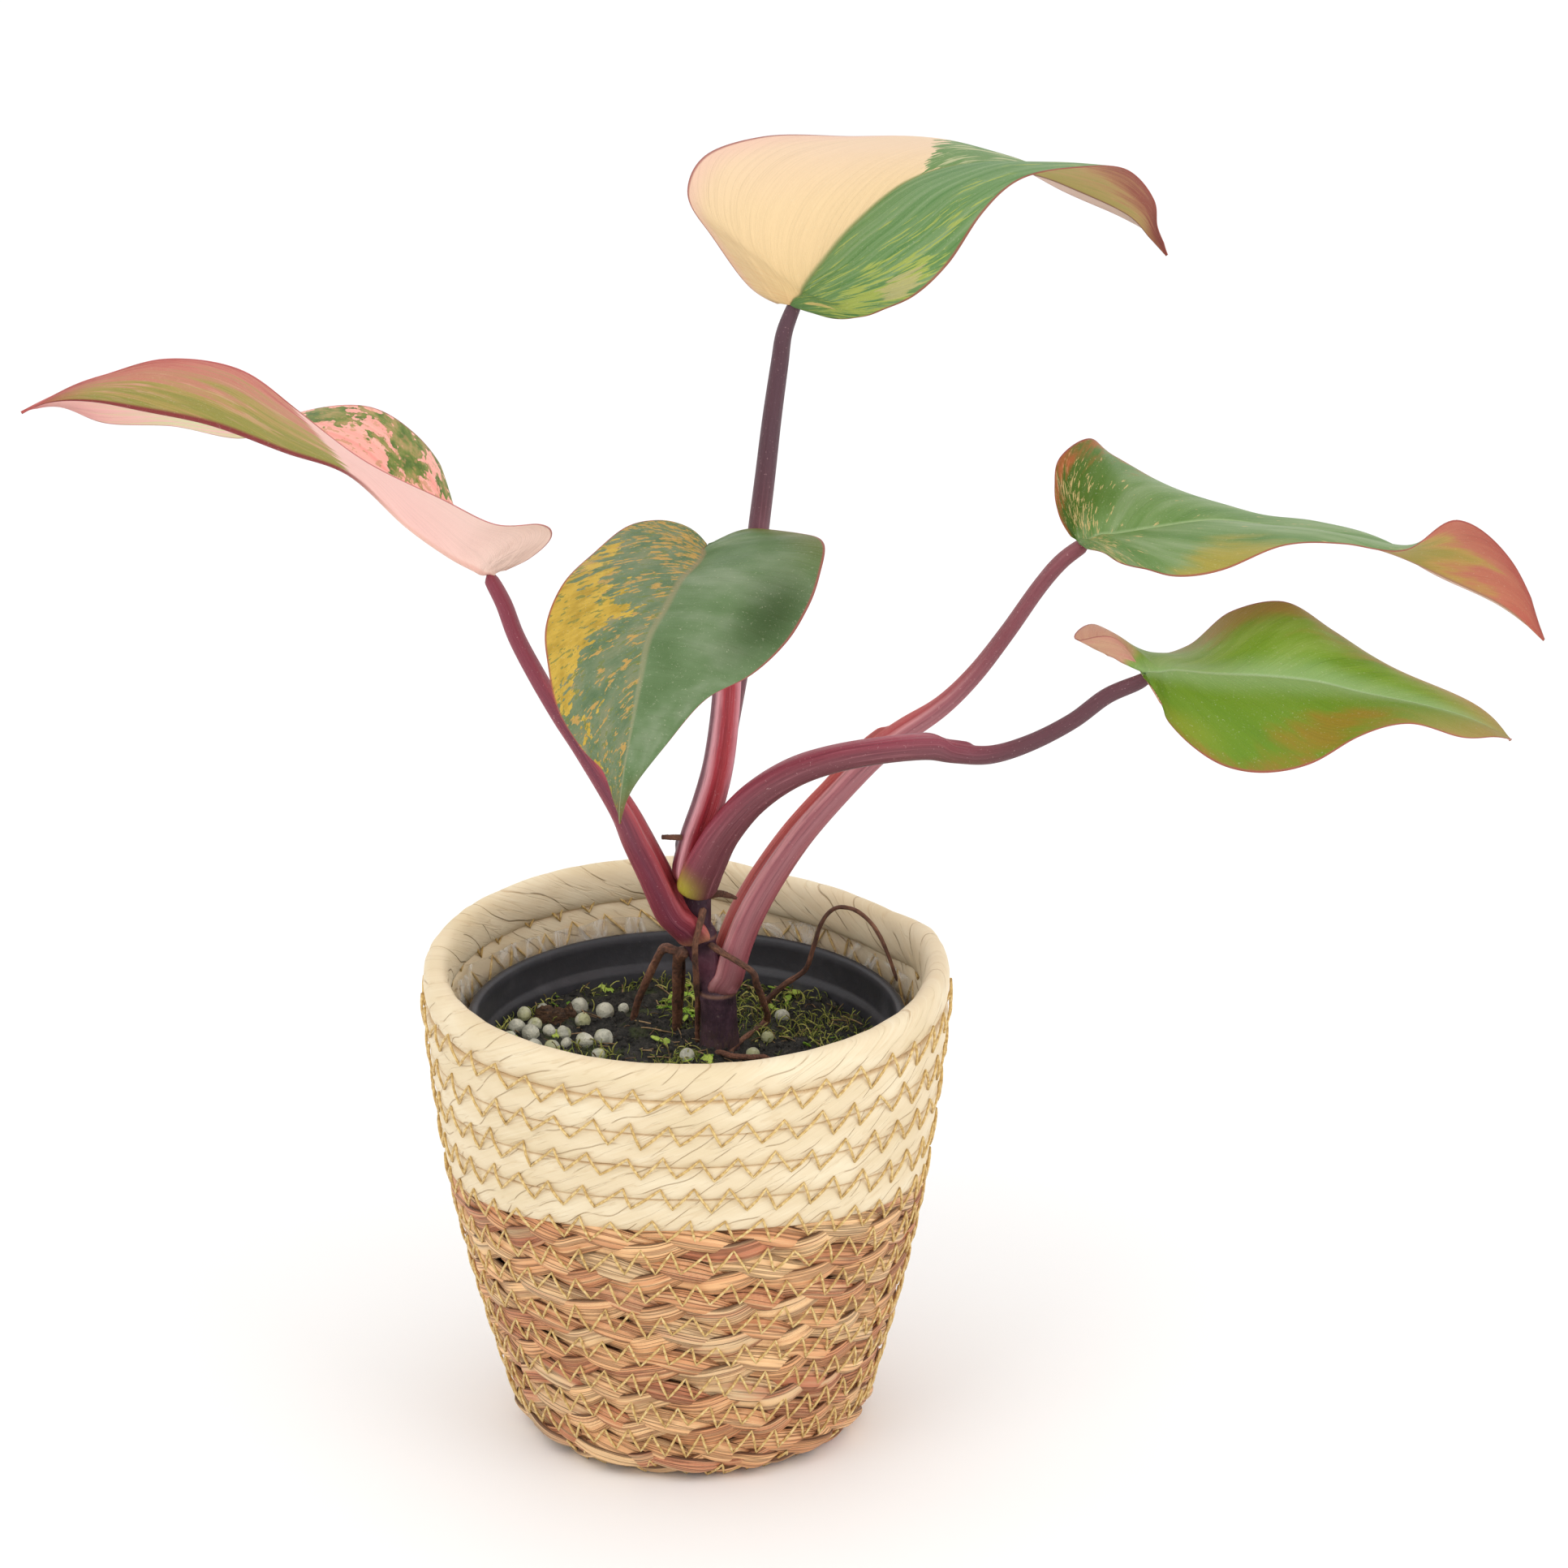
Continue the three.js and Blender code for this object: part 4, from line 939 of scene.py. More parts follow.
# Petioles: fleshy stalks that clasp the stem at a node, open in a channel between two lips on the side that
# faces the stem, and close to a slender round stalk below the blade.
PETIOLES = {
    "right_lower": {
        "path": [
            (2.7, 1.3, 154.2, 4.6), (2.8, 0.9, 155.8, 5.6), (3.6, -0.8, 159.4, 5.9),
            (5.6, -3.2, 165, 5.6), (10, -6, 174.5, 5), (17.6, -9, 185, 4.6), (27.4, -11, 193, 4.3),
            (38, -13, 198, 4), (51, -15, 201.5, 3.8), (64, -17, 203.4, 3.6), (72, -18, 202, 2.8),
            (81.5, -20, 202.3, 2.5), (92, -22, 206.5, 2.3), (103, -23, 213, 2.2), (112, -24, 220.5, 2.2),
            (120.7, -24, 224.6, 2), (124.4, -24.4, 227.4, 1),
        ],
        "facing": (-1.0, 0.2, 0.6),
        "shape": {"Channel": 0.12, "Lip": 0.02, "Ligule": 0.42, "Sheath end": 0.64},
        "slot": "petiole_maroon",
    },
    "front": {
        "path": [
            (1.2, 5, 159, 3.8), (0.6, 1.5, 161, 4.4), (2.6, 0.6, 170, 4.3), (6, -0.6, 181, 4.2),
            (8.6, -1.6, 192, 4), (10.2, -2.6, 204, 3.8), (11.2, -3.2, 217, 3.6), (11.6, -4, 229, 3.3),
            (11, -5.6, 240.5, 3), (9.4, -6.6, 249, 2.7), (5.8, -8.4, 254.3, 2.2), (4.9, -9.8, 255.6, 1),
        ],
        "facing": (0.35, -1.0, 0.2),
        "shape": {"Channel": 0.34, "Lip": 0.14, "Sheath end": 1.1},
        "slot": "petiole_crimson",
    },
    "top": {
        "path": [
            (3, 8, 158, 3), (4, 8.4, 163, 3), (6.4, 8.6, 174.8, 3), (9.4, 8.8, 189, 2.95),
            (12, 8.6, 203, 2.9), (14.4, 8.2, 217, 2.9), (17.2, 7.6, 234, 2.9), (19.6, 7, 255.7, 2.85),
            (21.4, 7, 271, 2.75), (23.2, 7, 287, 2.6), (25.3, 6.4, 303, 2.4), (26.6, 6, 312, 2.2),
            (29.6, 7.8, 319.6, 1.8), (30.4, 7.4, 320.4, 1),
        ],
        "facing": (-1.0, -0.4, 0.0),
        "shape": {"Channel": 0.08, "Lip": 0.02, "Sheath end": 0.3},
        "slot": "petiole_purple",
    },
    "left": {
        "path": [
            (2.9, 6.5, 138.6, 4.5), (2.5, 6.1, 140.2, 5.4), (1, 5, 142.8, 5.6), (-1.4, 3.6, 145.6, 5.4),
            (-4.2, 2.4, 149, 5), (-8.8, 1, 160, 4.6), (-13.2, 0, 170, 4.3), (-17.4, 0, 179.2, 3.6),
            (-27.2, 0, 195.6, 2.8), (-33.6, 0, 206, 2.6), (-40, 0, 217.8, 2.5), (-45, 0, 228.2, 2.4),
            (-48.2, 0, 237.5, 2.3), (-51.4, -0.6, 244.4, 2), (-52.8, -0.1, 246, 1),
        ],
        "facing": (1.0, -0.25, 0.7),
        "shape": {"Channel": 0.36, "Lip": 0.16, "Sheath end": 0.5},
        "slot": "petiole_crimson",
    },
    "right_upper": {
        "path": [
            (8.3, 7, 122, 4.6), (8.7, 6.9, 123.6, 5.1), (9.4, 7, 125.4, 5.2), (10.6, 7.2, 127.4, 5.1),
            (13, 8.4, 136, 5), (17, 10, 145.5, 4.9), (22.8, 12, 155.4, 4.7), (30.7, 14, 166.5, 4.4),
            (40.6, 15, 178, 4.1), (50.5, 15, 188.6, 3.8), (59, 14, 196, 3.4), (69, 13, 203.5, 2.8),
            (77.7, 12, 213, 2.5), (86.3, 11, 225.3, 2.3), (94.5, 9.4, 238.5, 2.2),
            (100.5, 8.4, 246.5, 2.2), (106.4, 9.2, 251, 2), (107.6, 8.6, 251.8, 1),
        ],
        "facing": (-1.0, -0.2, 0.8),
        "shape": {"Channel": 0.42, "Lip": 0.14, "Ligule": 0.35, "Sheath end": 0.52},
        "slot": "petiole_crimson",
    },
}


def petiole_skin(stops, foot, foot_share, neck, neck_share, patch=None):
    """Colour goes round the petiole by its stops, with its own tint at the foot and at the neck, and a patch
    near the foot if it has one. At 0.5 the stops face as the channel does."""
    def pattern(root):
        along = root.attribute("along")
        turn = root.attribute("turn")
        here = root.place()
        fine = (along * 5).vector(turn * 5.5).noise(1.0, 4, 0.65)
        cloud = here.noise(120, 3)
        speck = here.noise(1600, 2).step(0.66, 0.74)
        colour = (turn / math.tau + 0.5 + (cloud - 0.5) * 0.04).ramp(*stops)
        colour = colour.toned((1 - fine).step(0.48, 0.66) * 0.35, 86, 34, 48)
        colour = colour.toned(fine.step(0.54, 0.7) * 0.22, 226, 150, 160)
        colour = colour.toned(along.step(1 - neck_share, 1 - neck_share * 0.45) * 0.9, *neck)
        colour = colour.toned((1 - along.step(0, foot_share)) * (0.55 + 0.4 * cloud), *foot)
        if patch:
            place, width, *hue = patch
            share = along.bell(0.02, 0.06) * turn.bell(place, width) * (0.7 + 0.6 * cloud)
            colour = colour.toned(share, *hue)
        colour = colour.toned(speck * 0.35, 214, 168, 168)
        return coat(colour, 0.3 + 0.2 * cloud, fine, 0.0004)
    return pattern


PETIOLE_SKINS = {
    "right_lower": petiole_skin((
        (0.0, 104, 62, 66), (0.25, 124, 66, 74), (0.4, 154, 60, 78), (0.5, 170, 62, 80),
        (0.62, 154, 60, 78), (0.75, 118, 62, 70), (1.0, 104, 62, 66)),
        (128, 74, 70), 0.03, (90, 52, 60), 0.5, (-1.0, 1.5, 190, 178, 66)),
    "front": petiole_skin((
        (0.0, 92, 40, 56), (0.32, 130, 54, 70), (0.37, 220, 150, 160), (0.43, 176, 56, 64),
        (0.52, 158, 46, 54), (0.58, 174, 58, 68), (0.64, 228, 162, 170), (0.7, 112, 46, 62),
        (1.0, 92, 40, 56)),
        (206, 120, 108), 0.06, (150, 60, 72), 0.3),
    "top": petiole_skin((
        (0.0, 96, 58, 66), (0.25, 124, 76, 84), (0.4, 110, 66, 76), (0.6, 96, 56, 66), (0.85, 78, 48, 58),
        (1.0, 84, 52, 60)),
        (90, 54, 64), 0.05, (82, 52, 62), 0.5),
    "left": petiole_skin((
        (0.0, 158, 80, 92), (0.3, 140, 60, 74), (0.42, 180, 70, 76), (0.52, 174, 54, 60),
        (0.61, 192, 82, 88), (0.67, 138, 56, 70), (0.74, 118, 52, 70), (0.84, 144, 62, 76),
        (0.92, 168, 80, 92), (1.0, 158, 80, 92)),
        (204, 146, 112), 0.06, (140, 56, 72), 0.45),
    "right_upper": petiole_skin((
        (0.0, 150, 74, 86), (0.12, 168, 88, 96), (0.24, 172, 112, 118), (0.32, 178, 104, 112),
        (0.365, 230, 162, 164), (0.42, 190, 74, 76), (0.52, 196, 70, 66), (0.63, 206, 88, 76),
        (0.75, 170, 70, 80), (1.0, 150, 74, 86)),
        (124, 78, 80), 0.07, (128, 66, 74), 0.46),
}
for name, petiole in PETIOLES.items():
    skin = surface(f"petiole_{name}", PETIOLE_SKINS[name], Specular_IOR_Level=0.4)
    stalk = limb_piece(f"stalk_{name}", petiole["path"], skin, petiole["facing"], steps=160, sides=48,
                       wrinkle=0.04, wrinkle_length=3.0, shape=petiole["shape"])
    fit(stalk, petiole["slot"], f"petiole_{name}")


# Leaf blades: soft leathery hearts with a drawn-out tip, waved along their margins. Each half is coloured on
# its own, in patches that run out along the side veins. Rows are [midrib, left margin, right margin].
BLADES = {
    "top": [
        [(28, 6, 319)] * 3,
        [(29, 6, 321), (17, 12, 323), (40, -6, 320)],
        [(31, 7, 322), (7, 18, 335), (46, -12, 322)],
        [(32, 8, 324), (1, 26, 344), (52, -15, 325)],
        [(36, 10, 329), (6, 36, 352), (61, -18, 330)],
        [(45, 14, 339), (21, 42, 355), (69, -16, 338)],
        [(59, 20, 349), (43, 50, 352), (78, -11, 350)],
        [(75, 26, 352), (64, 55, 351), (89, 0, 356)],
        [(92, 29, 349), (83, 56, 345), (104, 6, 358)],
        [(105, 29, 344), (100, 52, 337), (116, 12, 355)],
        [(118, 27, 338), (116, 40, 334), (124, 17, 345)],
        [(124, 25, 332), (124, 31, 331), (126, 21, 336)],
        [(129, 22, 327)] * 3,
    ],
    "left": [
        [(-50, 0, 246)] * 3,
        [(-52, 0, 247), (-41, -10, 254), (-53, 16, 250)],
        [(-54, 0, 247), (-35, -18, 263), (-58, 22, 254)],
        [(-56, 0, 248), (-38, -24, 269), (-65, 26, 259)],
        [(-63, 0, 252), (-50, -26, 270), (-66, 30, 267)],
        [(-74, 1, 260), (-64, -25, 276), (-73, 32, 275)],
        [(-89, 2, 274), (-82, -24, 286), (-86, 32, 282)],
        [(-106, 3, 280), (-101, -22, 300), (-104, 32, 281)],
        [(-125, 4, 287), (-117, -19, 310), (-119, 30, 274)],
        [(-143, 4, 291), (-136, -15, 312), (-138, 25, 279)],
        [(-157, 3, 294), (-153, -10, 305), (-155, 18, 283)],
        [(-168, 2, 294), (-166, -2, 297), (-166, 6, 291)],
        [(-177, 0, 291)] * 3,
    ],
    "front": [
        [(6, -8, 257)] * 3,
        [(6, -9, 257), (12, -3, 258), (2, -5, 261)],
        [(5, -11, 257), (20, 0, 259), (-6, -3, 262)],
        [(5, -13, 256), (31, -3, 259), (-16, -5, 261)],
        [(3, -19, 255), (37, -13, 259), (-25, -16, 257)],
        [(-1, -28, 254), (36, -27, 256), (-32, -30, 253)],
        [(-5, -39, 250), (33, -38, 251), (-36, -43, 247)],
        [(-9, -50, 246), (27, -47, 244), (-35, -54, 240)],
        [(-11, -62, 239), (18, -57, 239), (-32, -63, 231)],
        [(-13, -71, 230), (6, -65, 235), (-26, -70, 223)],
        [(-15, -78, 220), (-4, -73, 226), (-20, -76, 219)],
        [(-16, -82, 212), (-13, -80, 215), (-17, -81, 212)],
        [(-16, -84, 207)] * 3,
    ],
    "right_upper": [
        [(105, 8, 252)] * 3,
        [(106, 8, 253), (100, 16, 258), (108, 0, 253)],
        [(108, 8, 253), (99, 24, 263), (112, -6, 254)],
        [(111, 9, 254), (101, 31, 268), (117, -11, 253)],
        [(116, 10, 254), (109, 36, 272), (122, -16, 253)],
        [(126, 12, 255), (116, 39, 266), (130, -20, 253)],
        [(142, 15, 256), (131, 43, 255), (143, -20, 255)],
        [(158, 18, 253), (151, 45, 247), (159, -17, 260)],
        [(175, 20, 249), (169, 45, 245), (175, -8, 258)],
        [(190, 20, 245), (186, 42, 241), (192, -3, 254)],
        [(206, 18, 238), (202, 36, 234), (206, 0, 261)],
        [(221, 15, 231), (219, 26, 228), (221, 3, 249)],
        [(233, 11, 221)] * 3,
    ],
    "right_lower": [
        [(121, -25, 227)] * 3,
        [(122, -25, 227), (114, -14, 233), (124, -33, 226)],
        [(123, -26, 228), (104, -7, 230), (126, -39, 223)],
        [(126, -26, 228), (110, 2, 231), (128, -44, 220)],
        [(130, -27, 229), (123, 2, 223), (134, -50, 216)],
        [(140, -27, 228), (135, 1, 225), (143, -54, 212)],
        [(153, -26, 227), (146, 2, 235), (153, -56, 211)],
        [(167, -25, 225), (160, 4, 237), (164, -54, 213)],
        [(180, -26, 222), (173, 2, 229), (177, -50, 219)],
        [(194, -26, 219), (187, -2, 222), (191, -44, 220)],
        [(206, -27, 216), (204, -12, 217), (205, -39, 215)],
        [(214, -29, 213), (214, -23, 214), (214, -35, 213)],
        [(220, -31, 210)] * 3,
    ],
}
BLADE_BOW = 0.06
BLADE_GAUGE = 0.5
MIDRIB_SWELL = 1.1
MIDRIB_WIDTH = 0.05
SIDE_VEINS = 11
BLADE_SPAN = (0.3, math.pi - 0.2456)
TIP_SHARE = 0.03
BLADE_ROWS = 156
HALF_COLUMNS = 34
DARKEST = 0.005


def through(points, shares):
    """Smooth line through the points at these shares of its length, by number of points."""
    points = np.array(points, float)
    points = np.vstack((2 * points[0] - points[1], points, 2 * points[-1] - points[-2]))
    at = np.clip(shares, 0, 1) * (len(points) - 3)
    span = np.minimum(at.astype(int), len(points) - 4)
    w = (at - span)[:, None]
    a, b, c, d = (points[span + step] for step in range(4))
    return 0.5 * (2 * b + (c - a) * w + (2 * a - 5 * b + 4 * c - d) * w**2 + (3 * b - a - 3 * c + d) * w**3)


def unit(vectors):
    return vectors / np.maximum(np.linalg.norm(vectors, axis=-1, keepdims=True), 1e-9)


def middle_surface(rows, along, across):
    """Points of a blade between its faces, for each share along it and each share across it, from the right
    margin at -1 to the left margin at 1."""
    ribs, lefts, rights = zip(*rows)
    midrib = through(ribs, along)
    tangent = unit(through(ribs, along + 0.005) - through(ribs, along - 0.005))
    grid = np.empty((len(along), len(across), 3))
    for column, share in enumerate(across):
        chord = through(lefts if share > 0 else rights, along) - midrib
        normal = np.cross(tangent, chord) if share > 0 else np.cross(chord, tangent)
        reach = abs(share)
        grid[:, column] = midrib + chord * reach + normal * BLADE_BOW * 4 * reach * (1 - reach)
    return grid


def blade_mesh(name, rows, seed):
    """Both faces of a blade with a border between them; it is thinner at the margins and swells under the
    midrib, and the side veins lift it in soft ribs."""
    along = 0.5 - 0.5 * np.cos(np.linspace(*BLADE_SPAN, BLADE_ROWS))
    half = 1 - (1 - np.linspace(0, 1, HALF_COLUMNS) ** 1.25) ** 1.15
    across = np.concatenate((-half[:0:-1], half))
    middle = middle_surface(rows, along, across)
    midrib = middle[:, HALF_COLUMNS - 1:HALF_COLUMNS]
    taper = np.sqrt(np.clip((along[-1] - along) / TIP_SHARE, 0.02, 1))[:, None, None]
    middle = midrib + (middle - midrib) * taper
    normal = unit(np.cross(np.gradient(middle, axis=0), np.gradient(middle, axis=1)))
    u, v = np.meshgrid(along, across, indexing="ij")
    reach = np.abs(v)
    veins = np.sin(math.tau * (u - 0.04 * reach) * SIDE_VEINS + seed)
    ribs = veins * np.sin(math.pi * reach) * (1 - u) * 0.22
    ripple = np.sin(math.tau * u * 4.3 + seed * 2 + v) * reach**3 * 0.5
    groove = np.exp(-((v / 0.022) ** 2)) * (1 - u) * 0.3
    gauge = BLADE_GAUGE * (1 - 0.5 * reach**4) / 2
    swell = MIDRIB_SWELL * (1 - u) * np.exp(-((v / MIDRIB_WIDTH) ** 2))
    upper = middle + normal * (ribs + ripple + gauge - groove)[..., None]
    lower = middle + normal * (ribs + ripple - gauge - swell)[..., None]
    points = np.concatenate((upper.reshape(-1, 3), lower.reshape(-1, 3)))
    grid = np.arange(u.size).reshape(u.shape)
    a, b, c, d = grid[:-1, :-1].ravel(), grid[:-1, 1:].ravel(), grid[1:, 1:].ravel(), grid[1:, :-1].ravel()
    top_faces = np.stack((a, d, c, b), 1)
    under_faces = np.stack((a, b, c, d), 1) + u.size
    border = np.concatenate((grid[0, :-1], grid[:-1, -1], grid[-1, :0:-1], grid[:0:-1, 0]))
    after = np.roll(border, -1)
    edge_faces = np.stack((border, after, after + u.size, border + u.size), 1)
    mesh = bpy.data.meshes.new(name)
    mesh.from_pydata(points * MM, [], np.concatenate((top_faces, under_faces, edge_faces)))
    top = np.concatenate((np.ones(u.size), np.zeros(u.size)))
    for label, values in (("u", np.tile(u.ravel(), 2)), ("v", np.tile(v.ravel(), 2)), ("top", top)):
        mesh.attributes.new(label, "FLOAT", "POINT").data.foreach_set("value", values.astype(np.float32))
    mesh.shade_smooth()
    return mesh


class OnBlade:
    """Where a point lies on its blade. The side veins run outwards and, by the drift, on towards the tip."""

    def __init__(self, root, drift):
        self.u = root.attribute("u")
        self.v = root.attribute("v")
        self.reach = self.v.size()
        self.left = self.v.step(-0.004, 0.004)
        self.vein = self.u - self.reach * drift

    def cloud(self, fine, coarse, seed, run=None):
        """Cloudy value drawn out along the side veins, or along another run."""
        return ((run or self.vein) * fine + seed).vector(self.v * coarse, seed).noise(1.0, 3, 0.58)

    def sway(self, *place):
        """The same value round 0."""
        return self.cloud(*place) - 0.5

    def patch(self, value, level, seed, run=None):
        """1 where the value is over the level, with an edge frayed along the side veins."""
        frayed = value + self.sway(34, 2.2, seed, run) * 0.5 + self.sway(105, 5, seed + 3, run) * 0.34
        return (frayed - level).step(-0.02, 0.02)


def leaf_skin(faces, drift, veil, shade):
    """Finish of a blade: faces gives the colours of its top and underside. The sheen lays a veil over the
    colours, so they are deepened by it first."""
    def pattern(root):
        at = OnBlade(root, drift)
        over, under = faces(at, at.u, at.reach, at.left)
        line = at.cloud(230, 2, 1)
        here = root.place()
        speck = here.noise(1500, 3, 0.7)
        cloud = here.noise(60, 3)
        colour = root.attribute("top").blend(under, over)
        colour = colour.toned((1 - line).step(0.48, 0.72) * 0.11, 70, 74, 44)
        colour = colour.toned(speck.step(0.6, 0.72) * 0.2, 250, 244, 214)
        colour = colour.toned(at.reach.step(0.975, 0.992) * 0.75, 176, 92, 92)
        colour = colour.arrow("SUBTRACT", (veil,) * 3).scaled(shade).arrow("MAXIMUM", (DARKEST,) * 3)
        relief = line * 0.7 + speck * 0.3 + cloud * 0.6
        return coat(colour, 0.36 + 0.16 * cloud + 0.08 * speck, relief, 0.0003)
    return pattern


def ribbed(reach, width, over, under, over_rib, under_rib):
    """Both faces with a midrib of its own tint."""
    rib = reach.step(0.0, width)
    return rib.blend(tint(*over_rib), over), rib.blend(tint(*under_rib), under)


def top_faces(at, u, reach, left):
    cream = (u * 1.4 + reach * 0.5).ramp((0.0, 250, 206, 150), (0.25, 254, 218, 160),
                                        (0.7, 254, 222, 174), (1.0, 254, 222, 188))
    cream = cream.toned(reach.step(0.8, 1.0) * 0.6, 253, 206, 188)
    ray = (1 - u.step(0.0, 0.3)) * at.cloud(200, 1.5, 5, u).step(0.5, 0.6)
    cream = cream.toned(ray * 0.35, 244, 184, 128)
    green = at.cloud(26, 1.6, 2).ramp((0.3, 98, 140, 80), (0.5, 122, 157, 100), (0.7, 150, 175, 126))
    green = green.toned((1 - u.step(0.05, 0.3)) * 0.5, 92, 134, 72)
    flow = u - reach * 0.42
    lime = at.cloud(48, 5, 7, flow) * 0.55 + at.cloud(110, 9, 4, flow) * 0.45 + reach.bell(0.8, 0.5) * 0.1
    streaks = (lime + u.bell(0.24, 0.3) * 0.12 - 0.655).step(-0.02, 0.04)
    green = green.toned(streaks * 0.85, 184, 194, 98)
    worn = reach.bell(0.84, 0.3) * u.bell(0.34, 0.15) + at.sway(70, 7, 5, flow) * 1.6 - 0.74
    green = green.toned(worn.step(-0.05, 0.1) * 0.8, 200, 190, 132)
    tongue = at.patch(reach.bell(0.5, 0.5) * (u - reach * 0.12).bell(0.05, 0.03), 0.6, 1, flow)
    green = green.toned(tongue, 216, 196, 124)
    far_green = at.sway(60, 6, 3, flow).step(0, 0.12).blend(tint(124, 156, 98), tint(200, 202, 154))
    turned_green = ((u - 0.533 - at.v * 0.09) + at.sway(34, 14, 9, flow) * 0.12).step(-0.002, 0.002)
    over = left.blend(green, turned_green.blend(cream, far_green))
    near_under = (reach * 0.8 + (u - 0.72) * 1.7 + at.sway(26, 4, 6, flow) * 1.1).ramp(
        (0.1, 206, 190, 120), (0.32, 222, 188, 130), (0.5, 214, 158, 120),
        (0.8, 186, 112, 98))
    near_under = near_under.toned(u.step(0.84, 0.96) * 0.75, 160, 84, 78)
    olive = (u * 1.5 - reach * 0.9 + at.sway(20, 2, 6) * 0.5).step(0.3, 1.0)
    far_under = (olive * 0.4).blend(tint(246, 214, 196), tint(214, 184, 164))
    under = left.blend(near_under, far_under)
    return ribbed(reach, 0.03, over, under, (150, 160, 104), (150, 96, 84))


def left_faces(at, u, reach, left):
    pink = at.cloud(16, 1.4, 2).ramp((0.35, 246, 160, 148), (0.6, 252, 186, 170))
    green = at.cloud(40, 6, 4, u).ramp((0.35, 88, 112, 50), (0.5, 120, 134, 64), (0.65, 172, 150, 96))
    blotch = at.cloud(15, 3.4, 3, u) * 0.75 + at.cloud(46, 10, 13, u) * 0.25 + reach * 0.12
    leafy = at.patch(blotch * 1.8, 1.02, 5, u)
    far_top = leafy.blend(pink, green)
    hair = (at.cloud(90, 14, 7, u) - 0.54).step(0, 0.06) * (1 - reach * 0.5)
    far_top = far_top.toned(hair * 0.75, 190, 148, 100)
    near_top = at.patch(at.cloud(13, 3, 8, u) * 1.8, 1.0, 4, u).blend(pink, green)
    salmon = (u + (1 - reach) * 0.1).ramp((0.0, 255, 222, 202), (0.3, 255, 221, 206), (0.5, 255, 206, 196))
    blush = reach * 0.85 + at.sway(22, 3, 9) * 1.3 + at.sway(80, 8, 2) * 0.8
    blush = blush.ramp((0.06, 158, 152, 78), (0.3, 184, 160, 92), (0.46, 200, 148, 112),
                       (0.72, 214, 134, 118), (0.98, 196, 100, 94))
    tufts = (at.cloud(30, 6, 11) - 0.57).step(0, 0.05) * reach.bell(0.4, 0.5)
    blush = blush.toned(tufts * 0.6, 226, 170, 144)
    blush = blush.toned(u.step(0.82, 0.96) * 0.85, 204, 98, 94)
    turned_red = (u - 0.5 - reach * 0.09 + at.sway(60, 3, 2) * 0.05).step(-0.006, 0.006)
    near_under = turned_red.blend(salmon, blush)
    pale = at.cloud(34, 4, 5).step(0.42, 0.6).blend(tint(252, 200, 190), tint(228, 222, 168))
    far_under = pale.toned(u.step(0.72, 0.88) * 0.8, 250, 178, 174)
    over = left.blend(far_top, near_top)
    under = left.blend(far_under, near_under)
    tip = u.step(0.9, 0.975) * 0.9
    over = over.toned(tip, 200, 92, 90)
    under = under.toned(tip, 200, 92, 90)
    rib = reach.step(0.0, 0.03)
    outer = u.step(0.42, 0.52)
    dark_rib = outer.blend(tint(246, 196, 180), tint(142, 62, 62))
    under_rib = reach.step(0.02 + outer * 0.01, 0.05 + outer * 0.02)
    return rib.blend(tint(214, 168, 130), over), under_rib.blend(dark_rib, under)


def front_faces(at, u, reach, left):
    green = at.cloud(9, 1.1, 3).ramp((0.3, 92, 116, 76), (0.5, 112, 134, 96), (0.7, 140, 154, 124))
    # Painted shade of a shallow basin in the plain green half of the blade.
    basin_shade = reach.bell(0.8, 0.4) * u.bell(0.53, 0.17)
    plain = green.toned(basin_shade * 0.85, 70, 86, 58)
    olive = reach.step(0.6, 1.0) * u.bell(0.24, 0.22)
    plain = plain.toned(olive * 0.75, 122, 116, 58)
    grey = at.cloud(20, 3, 5).ramp((0.3, 98, 120, 88), (0.5, 120, 135, 104), (0.7, 144, 144, 112))
    wide = reach.step(0.1, 0.95) * 0.5 + u.bell(0.5, 0.2) * 0.36 - (1 - u.step(0.16, 0.34)) * 0.16
    broad = at.sway(16, 2.6, 6) * 1.2 + at.sway(60, 6, 4) * 1.0
    gold_patch = at.patch(wide + broad, 0.56, 7)
    gold = at.cloud(40, 6, 8).ramp((0.3, 176, 146, 66), (0.6, 208, 174, 82))
    hairs = at.cloud(46, 4, 9) * 0.55 + at.cloud(120, 9, 14) * 0.45
    tan = (hairs + u.bell(0.2, 0.26) * 0.06 + (1 - reach) * 0.02 - 0.575).step(-0.015, 0.02)
    flamed = grey.toned(tan * 0.85, 202, 160, 92)
    flamed = gold_patch.blend(flamed, gold)
    fleck = (at.cloud(110, 10, 11) - 0.57).step(0, 0.04)
    flamed = flamed.toned(fleck * 0.75, 122, 132, 80)
    over = left.blend(flamed, plain)
    over = over.toned(u.step(0.84, 0.98) * 0.8, 128, 104, 64)
    rib = 1 - (reach / (0.06 - u * 0.025)).step(0.2, 1.0)
    rib_tone = u.ramp((0.0, 206, 146, 122), (0.18, 160, 142, 110), (0.7, 150, 152, 118))
    over = (rib * 0.75).blend(over, rib_tone)
    under = at.cloud(14, 1.5, 2).ramp((0.35, 150, 110, 84), (0.65, 158, 148, 96))
    return over, under.toned(rib * 0.8, 170, 96, 86)


